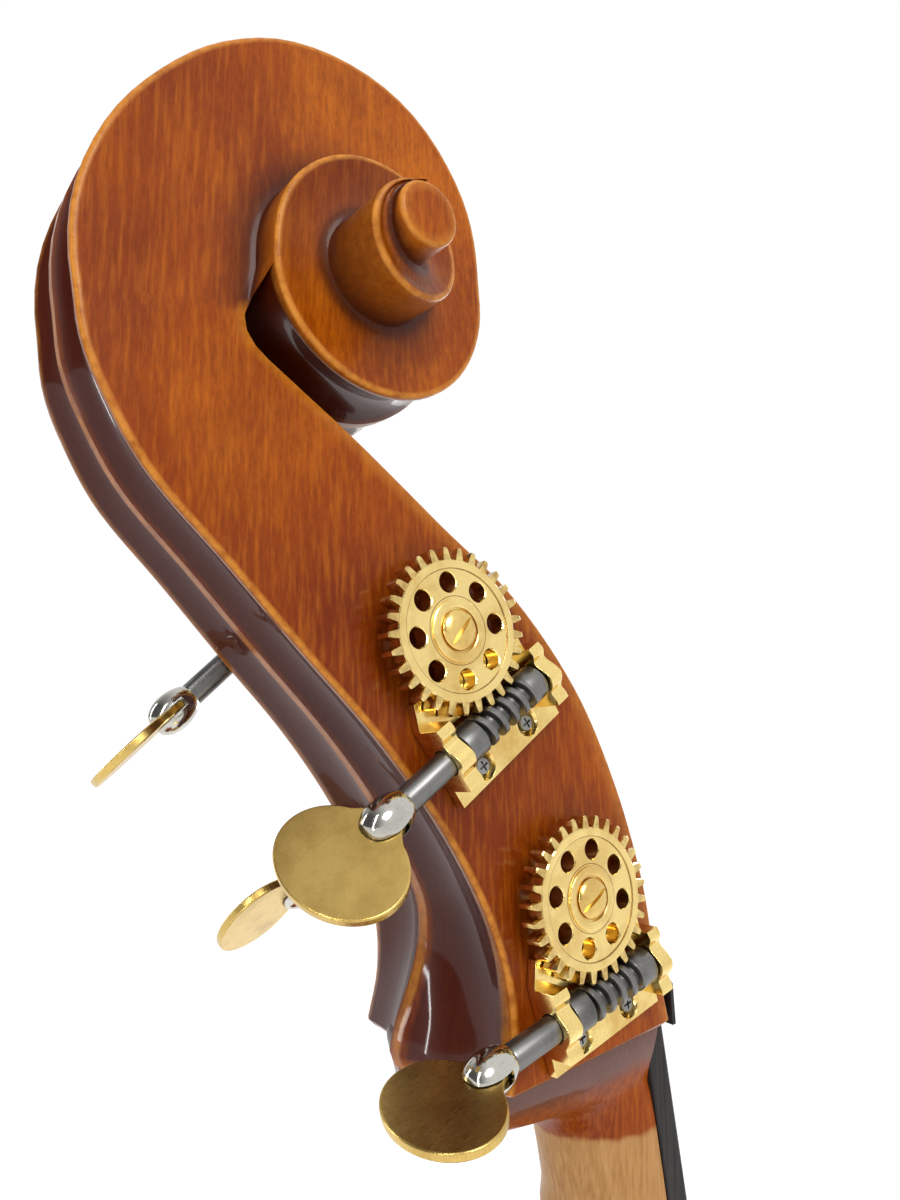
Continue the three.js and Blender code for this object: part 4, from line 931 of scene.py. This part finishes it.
def bore_cutters(matrix, side):
    made = []
    for low, high, radius in ((16, 24, 3.85), (-23, -15, 3.3)):
        b = Builder(matrix)
        turned(b, [(side * low, radius), (side * high, radius)], round_x, 40, (0, -CENTRE_DISTANCE, WORM_HEIGHT))
        made.append(cutter(b))
    return made


def build_plate_screws(matrix, side):
    """Cross-headed screws sunk in the plate."""
    b = Builder(matrix, ("u", "v"))
    for x, y in PLATE_SCREWS:
        turned(b, [(0.9, 2.3), (2.3, 2.35), (2.75, 2.1), (2.95, 1.4), (3, 0.2)], sides=32, shift=(side * x, y, 0))
    return b


def cross_cutters(matrix, side):
    made = []
    for x, y in PLATE_SCREWS:
        for w, h in ((1.5, 0.28), (0.28, 1.5)):
            b = Builder(matrix)
            prism(b, [(side * x + p * w, y + q * h) for p, q in ((-1, -1), (1, -1), (1, 1), (-1, 1))], 2.1, 4)
            made.append(cutter(b))
    return made


def build_worm(matrix, side):
    """Right-hand thread between two collars on a plain shaft, with a crest at the middle facing the wheel."""
    b = Builder(matrix, ("u", "v"))
    low, high = sorted(side * end for end in WORM_SPAN)
    profile = [(-1.15, 3.2), (-1.0, 4.2), (-0.86, 4.9), (-0.7, 5.08), (0, 5.1), (0.7, 5.08), (0.86, 4.9), (1.0, 4.2),
        (1.15, 3.2), (1.7, 3.12), (2.8, 3.12)]
    strips = []
    for turn in range(math.floor(low / WORM_PITCH) - 1, math.ceil(high / WORM_PITCH) + 1):
        for shift, radius in profile:
            strip = []
            for column in range(WORM_COLUMNS + 1):
                x = (turn + column / WORM_COLUMNS) * WORM_PITCH + shift
                angle = 2 * math.pi * column / WORM_COLUMNS
                place = (min(max(x, low), high), radius * math.cos(angle), radius * math.sin(angle))
                strip.append(b.vertex(place, u=radius, v=x))
            strips.append(strip)
    for lower, upper in zip(strips, strips[1:]):
        b.skin(lower, upper)
    for part in ([(10.4, 4.7), (10.6, 5.05), (10.8, 5.1), (16.4, 5.1), (16.7, 5.0), (16.9, 4.6), (16.9, 3.6)],
                 [(-9.8, 4.7), (-10, 5.05), (-10.2, 5.1), (-15.4, 5.1), (-15.7, 5.0), (-15.9, 4.6), (-15.9, 3.1)],
                 [(16.5, 3.55), (37.4, 3.55), (37.9, 3.3)], [(-15.5, 3.0), (-20.3, 3.0), (-20.6, 2.7)]):
        turned(b, [(side * s, r) for s, r in part], round_x)
    return b


def build_ferrule(matrix, side):
    b = Builder(matrix, ("u", "v"))
    outline = resample([(37.9, 3.62), (38.6, 4.1), (40.6, 5.0), (43.5, 5.6), (46.8, 5.4), (49.6, 4.2), (51, 2.6),
        (51.3, 0.3)], 24)
    turned(b, [(side * s, r) for s, r in outline], round_x, 56)
    return b


def ferrule_cutter(matrix, side):
    """Slit that the key's disc sits in."""
    b = Builder(matrix)
    prism(b, [(side * x, y) for x, y in ((41, -9), (53, -9), (53, 9), (41, 9))], -1.5, 1.5)
    return cutter(b)


def build_key(matrix, side):
    """Oval disc with a neck that widens towards it."""
    b = Builder(matrix, ("u", "v"))
    neck = [(41.3, -3.4), (43.6, -4.6), (45.6, -6.2)]
    oval = [(59.2 + 13.4 * math.cos(angle), 17.4 * math.sin(angle))
        for angle in np.linspace(math.pi + 0.5, 3 * math.pi - 0.5, 73)]
    outline = neck + oval + [(x, -y) for x, y in reversed(neck)]
    prism(b, [(side * x, y) for x, y in outline], -1.2, 1.2)
    return b


def build_roller(matrix, machine):
    """Turned roller with a stub through each cheek."""
    inner = ROLLER_END
    outer = inner - 2 * (cheek_half(machine["z"]) - CHEEK_WALL - 0.3)
    b = Builder(matrix, ("u", "v"))
    turned(b, [(outer - 6, 5.0), (outer - 5.8, 5.4), (outer, 5.4), (outer + 2.4, 5.4), (outer + 2.6, 9.2),
        (outer + 3, ROLLER_RADIUS), (inner - 3, ROLLER_RADIUS), (inner - 2.6, 9.2), (inner - 2.4, 5.4), (3.4, 5.4),
        (3.5, 5.0)], sides=40)
    return b


def build_winding(matrix, machine, note):
    """Turns of string round the roller, starting in line with the string's place on the nut."""
    radius = STRING_RADIUS[note]
    start = machine["side"] * NUT_PLACES[note] * 0.9 - cheek_half(machine["z"])
    pitch = (2 * radius + 0.1) * (-1 if start > -24 else 1)
    b = Builder(matrix, ("u", "v"))
    rings = []
    for i in range(WINDING_TURNS * WINDING_STEPS + 1):
        turns = i / WINDING_STEPS
        c, s = math.cos(turns * 2 * math.pi), math.sin(turns * 2 * math.pi)
        ring = []
        for t in np.linspace(0, 2 * math.pi, 9)[:-1]:
            out = ROLLER_RADIUS + radius + radius * math.cos(t)
            ring.append(b.vertex((out * c, out * s, start + turns * pitch + radius * math.sin(t)), u=i, v=t))
        rings.append(ring)
    b.loft(rings)
    return b


for note, machine in MACHINES.items():
    side = machine["side"]
    matrix = machine_matrix(**machine)
    worm = matrix @ Matrix.Translation((0, -CENTRE_DISTANCE, WORM_HEIGHT))
    grip = worm @ Matrix.Rotation(-math.radians(machine["key"]), 4, "X")
    wheel, key = f"wheel_{note}", f"key_{note}"
    build_wheel(matrix).finish(f"toothed_wheel_{note}", WHEEL_BRASS, wheel, [f"worm_wheel_{note}"], "brass")
    screw = build_screw(matrix).finish(f"slotted_screw_{note}", SCREW_BRASS, wheel, [f"wheel_screw_{note}"], "brass")
    slot = Builder(matrix @ Matrix.Rotation(0.3, 4, "Z"))
    prism(slot, [(-7, -0.5), (7, -0.5), (7, 0.5), (-7, 0.5)], 9.6, 12)
    carve(screw, cutter(slot))
    plate = build_plate(matrix, side).finish(
        f"base_plate_{note}", BRASS, "instrument", [f"machine_plate_{note}"], "brass")
    bevel(carve(plate, *plate_cutters(matrix, side)), 0.3)
    walls = build_brackets(matrix, side).finish(f"bearing_brackets_{note}", BRASS, "instrument", slot="brass")
    bevel(carve(walls, *bore_cutters(matrix, side)), 0.35)
    screws = build_plate_screws(matrix, side).finish(f"plate_screws_{note}", SCREW_STEEL, "instrument", slot="steel")
    carve(screws, *cross_cutters(matrix, side))
    build_worm(worm, side).finish(f"worm_{note}", STEEL, key, [f"worm_shaft_{note}"], "steel")
    ferrule = build_ferrule(grip, side).finish(f"ferrule_{note}", NICKEL, key, [f"key_ferrule_{note}"], "nickel")
    bevel(carve(ferrule, ferrule_cutter(grip, side)), 0.25)
    disc = build_key(grip, side).finish(f"key_{note}_disc", KEY_BRASS, key, [f"key_disc_{note}"], "satin_brass")
    bevel(disc, 0.5, 3)
    build_roller(matrix, machine).finish(f"string_roller_{note}", ROLLER, wheel, [f"roller_{note}"], "dark_wood")
    build_winding(matrix, machine, note).finish(f"string_turns_{note}", STRING, wheel, slot="string_steel")

# ---- fingerboard and nut


def build_board():
    """Long cambered board, wider and rounder towards the bridge."""
    b = Builder(HEAD)
    rings = []
    for z in np.linspace(-3, -853, 24):
        half = neck_half(z)
        base = glue_line(z) - 0.3
        ring = [b.vertex((-half, base, z)), b.vertex((half, base, z))]
        for x in np.linspace(half, -half, 37):
            rise = 8.2 + (3.2 + 9 * -z / BOARD_LENGTH) * (1 - (x / half) ** 2)
            ring.append(b.vertex((x, base - rise, z)))
        rings.append(ring)
    b.loft(rings)
    return b


def nut_front(x):
    return -16 + x * x / 92


def build_nut():
    b = Builder(HEAD)
    half = LEDGE_HALF - 1
    outline = [(-half, -2.4), (half, -2.4)] + [(x, nut_front(x)) for x in np.linspace(half, -half, 41)]
    prism(b, outline, -2.7, 9.3)
    return b


bevel(build_board().finish("playing_board", EBONY, "instrument", ["fingerboard"], "ebony"), 0.6, 3, 50)
nut = build_nut().finish("grooved_nut", EBONY, "instrument", ["nut"], "ebony")
grooves = []
for note, x in NUT_PLACES.items():
    radius = STRING_RADIUS[note] + 0.15
    b = Builder(HEAD)
    turned(b, [(-6, radius), (13, radius)], sides=16, shift=(x, nut_front(x) - 0.45, 0))
    grooves.append(cutter(b))
bevel(carve(nut, *grooves), 0.9, 3, 50)

# ---- body

BODY_BOTTOM, BODY_LENGTH = 110, 1110
RIB_FRONT = -100
PLATE_THICKNESS = 6
PLATE_GAP = 0.3  # keeps the inside of a plate off the ribs
RIB_INSET, RIB_THICKNESS = 5, 2.4
SOCKET_HOLE = 17.3
LOWER_BOUT = [[(0, 0), (190, 0), (335, 92), (335, 262)], [(335, 262), (335, 372), (244, 430), (270, 480)]]
CENTRE_BOUT = [[(262, 492), (208, 506), (184, 550), (184, 604)], [(184, 604), (184, 652), (196, 692), (232, 704)]]
UPPER_BOUT = [[(239, 716), (222, 745), (259, 780), (259, 838)], [(259, 838), (259, 955), (52, 990), (34, 1110)]]
FAIR_WIDTH = [(0, 60), (60, 245), (150, 318), (262, 335), (380, 292), (480, 220), (604, 184), (716, 212), (838, 259),
    (940, 212), (1020, 112), (1110, 42)]


def bezier(points, t):
    p = np.array(points, float)
    return (1 - t) ** 3 * p[0] + 3 * t * (1 - t) ** 2 * p[1] + 3 * t * t * (1 - t) * p[2] + t**3 * p[3]


def sample(bout, start=0.0, stop=1.0, steps=28):
    lower, upper = bout
    return [bezier(lower, start + (1 - start) * i / steps) for i in range(steps)] + [
        bezier(upper, stop * i / steps) for i in range(steps + 1)]


def body_outline(steps):
    return np.array([p for bout in (LOWER_BOUT, CENTRE_BOUT, UPPER_BOUT) for p in sample(bout, steps=steps)])


def back_plane(height):
    """The back's ribs narrow above the bend."""
    bend = 760
    return 100 - 35 * max(0, (height - bend) / (BODY_LENGTH - bend))


def arching(x, height):
    across = min(abs(x) / (through(FAIR_WIDTH, height) - 6), 1)
    along = min(abs(height - BODY_LENGTH / 2) / (BODY_LENGTH / 2 - 4), 1)
    return (1 - across * across) ** 1.3 * (1 - along**3.2) ** 0.9


def build_arched(front):
    """Arched plate, hollowed near its edge, with the distance from its edge painted on it."""
    outline, edge = body_outline(20), body_outline(150)
    facing, arch = (-1, 26) if front else (1, 20)
    spread = np.sin(np.linspace(-1, 1, 73) * math.pi * 0.47) / math.sin(math.pi * 0.47)
    b = Builder(WORLD, ("rim",))
    layers = []
    for layer in (0, 1):
        rows = []
        for half, height in outline:
            plane = RIB_FRONT if front else back_plane(height)
            points, distances = [], []
            for x in spread * max(half, 0.6):
                far = float(np.min(np.hypot(edge[:, 0] - abs(x), edge[:, 1] - height)))
                rise = PLATE_GAP + PLATE_THICKNESS * (1 - layer) + arch * arching(x, height)
                if layer == 0:
                    rise -= 1.2 * math.exp(-((far - 9) / 5) ** 2)
                points.append((x, plane + facing * rise, BODY_BOTTOM + height))
                distances.append(far)
            rows.append(b.row(points, rim=distances))
        for lower, upper in zip(rows, rows[1:]):
            b.skin(lower, upper)
        layers.append(rows)
    outer, inner = layers
    for end in (0, -1):
        b.skin(outer[end], inner[end])
    for end in (0, -1):
        b.skin([row[end] for row in outer], [row[end] for row in inner])
    return b


def unit_normals(line):
    tangent = np.gradient(line, axis=0)
    tangent /= np.linalg.norm(tangent, axis=1)[:, None]
    return np.stack([-tangent[:, 1], tangent[:, 0]], 1)


def sound_hole_cutters(side):
    """A curved slot, a round hole at each end, and a nick at the bridge."""
    line = resample([(92, 672), (86, 655), (84, 640), (91, 618), (104, 596), (116, 577), (126, 556), (125, 537),
        (118, 520)], 41)
    width = np.array([through([(0, 3.5), (0.5, 8), (1, 4)], i / 40) for i in range(41)])[:, None]
    offset = unit_normals(line) * width / 2
    shapes = [np.r_[line + offset, (line - offset)[::-1]]]
    for cx, cy, radius in ((101, 672, 10.5), (106, 520, 13)):
        angles = np.linspace(0, 2 * math.pi, 41)[:-1]
        shapes.append(np.stack([cx + radius * np.cos(angles), cy + radius * np.sin(angles)], 1))
    shapes.append(np.array([(99, 594), (104, 592), (110, 599), (104, 602)]))
    made = []
    for shape in shapes:
        b = Builder(WORLD)
        rings = [[b.vertex((side * x, y, BODY_BOTTOM + z)) for x, z in shape] for y in (-150, -70)]
        b.loft(rings)
        made.append(cutter(b))
    return made


def build_rib(bout, side, start, stop):
    line = np.array(sample(bout, start, stop))
    b = Builder(WORLD)
    rings = []
    outer, inner = RIB_INSET, RIB_INSET + RIB_THICKNESS
    for p, n in zip(line, unit_normals(line)):
        ring = []
        for inset, deep in ((outer, 0), (outer, 1), (inner, 1), (inner, 0)):
            x, z = p + n * inset
            y = back_plane(z) - PLATE_GAP / 2 if deep else RIB_FRONT + PLATE_GAP / 2
            ring.append((side * max(x, 0.15), y, BODY_BOTTOM + z))
        rings.append(b.row(ring))
    b.loft(rings)
    return b


top = build_arched(True).finish("arched_top", SPRUCE, "instrument", ["top_plate"], "varnished_spruce")
for side in (-1, 1):
    carve(top, *sound_hole_cutters(side))
bevel(top, 1.6, 3, 50)
back = build_arched(False).finish("arched_back", FLAMED, "instrument", ["back_plate"], "varnished_maple")
bevel(back, 1.6, 3, 50)
for label, side in (("bass", -1), ("treble", 1)):
    for bout, curves, start, stop in (("lower", LOWER_BOUT, 0, 0.985), ("centre", CENTRE_BOUT, 0.03, 0.97),
                                      ("upper", UPPER_BOUT, 0.02, 1)):
        piece = build_rib(curves, side, start, stop).finish(
            f"bent_rib_{bout}_{label}", FLAMED, "instrument", [f"rib_{bout}_{label}"], "varnished_maple")
        if bout == "lower":
            b = Builder(WORLD)
            turned(b, [(BODY_BOTTOM - 40, SOCKET_HOLE), (BODY_BOTTOM + 80, SOCKET_HOLE)], sides=40)
            carve(piece, cutter(b))

# ---- looks of the CAD pieces that stay

PAINTED = {
    "bridge": BARE_MAPLE, "sound_post": RAW_SPRUCE, "bass_bar": RAW_SPRUCE, "top_block": FLAMED,
    "bottom_block": RAW_SPRUCE, "corner_block_": RAW_SPRUCE, "tailpiece": EBONY, "saddle": EBONY,
    "endpin_socket": EBONY, "string_": STRING, "tail_wire": WIRE, "endpin_rod": ROD, "endpin_tip": RUBBER,
    "endpin_thumbscrew": ROD,
}
for name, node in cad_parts.items():
    for start, material in PAINTED.items():
        if name.startswith(start):
            node.data.materials.clear()
            node.data.materials.append(material)

# ---- studio


def light_world():
    """A white backdrop, and light from all round but for a dark side behind the instrument's back."""
    world = bpy.data.worlds.new("studio")
    bpy.context.scene.world = world
    world.use_nodes = True
    nodes, links = world.node_tree.nodes, world.node_tree.links
    facing = nodes.new("ShaderNodeVectorMath")
    facing.operation = "DOT_PRODUCT"
    facing.inputs[1].default_value = (0.2, 0.98, 0.0)
    ramp = nodes.new("ShaderNodeValToRGB")
    ramp.color_ramp.elements.new(0.45)
    for element, (position, grey) in zip(ramp.color_ramp.elements, ((0.1, 1.0), (0.45, 0.5), (0.75, 0.12))):
        element.position = position
        element.color = (grey, grey, grey, 1)
    backdrop = nodes.new("ShaderNodeMix")
    backdrop.data_type = "RGBA"
    backdrop.inputs[7].default_value = (1, 1, 1, 1)
    links.new(nodes.new("ShaderNodeTexCoord").outputs["Generated"], facing.inputs[0])
    links.new(facing.outputs["Value"], ramp.inputs["Fac"])
    links.new(nodes.new("ShaderNodeLightPath").outputs["Is Camera Ray"], backdrop.inputs[0])
    links.new(ramp.outputs["Color"], backdrop.inputs[6])
    links.new(backdrop.outputs[2], nodes["Background"].inputs["Color"])
    nodes["Background"].inputs["Strength"].default_value = 1.02


def lay_floor():
    mesh = bpy.data.meshes.new("floor")
    half = 40
    mesh.from_pydata([(-half, -half, 0), (half, -half, 0), (half, half, 0), (-half, half, 0)], [], [(0, 1, 2, 3)])
    floor = new_object("floor", mesh)
    paint = Shader("pale_floor", Roughness=0.9, Specular_IOR_Level=0.1)
    paint.set(Base_Color=paint.ramp(paint.noise(2, 3), (0.3, 0.86), (0.7, 0.88)))
    paint.set(Emission_Color=(1, 1, 1, 1), Emission_Strength=0.38)
    mesh.materials.append(paint.material)


def area_light(name, place, target, size, power, height=None):
    data = bpy.data.lights.new(name, "AREA")
    data.shape = "RECTANGLE" if height else "DISK"
    data.size = size
    if height:
        data.size_y = height
    data.energy = power
    lamp = new_object(name, data)
    aim = Vector(target) - Vector(place)
    lamp.matrix_world = Matrix.Translation(place) @ aim.to_track_quat("-Z", "Y").to_matrix().to_4x4()


light_world()
lay_floor()
area_light("key", (-1.6, 0.5, 3.0), (0, 0, 1.75), 1.0, 26)
area_light("strip", (1.7, 1.5, 2.2), (0, 0, 1.75), 0.16, 13, 1.7)
area_light("edge", (-0.8, 1.75, 2.3), (0, 0.1, 1.75), 0.06, 18, 2.2)
area_light("fill", (1.2, -2.4, 2.0), (0, 0, 1.0), 1.6, 22)
bpy.context.scene.view_settings.view_transform = "Standard"
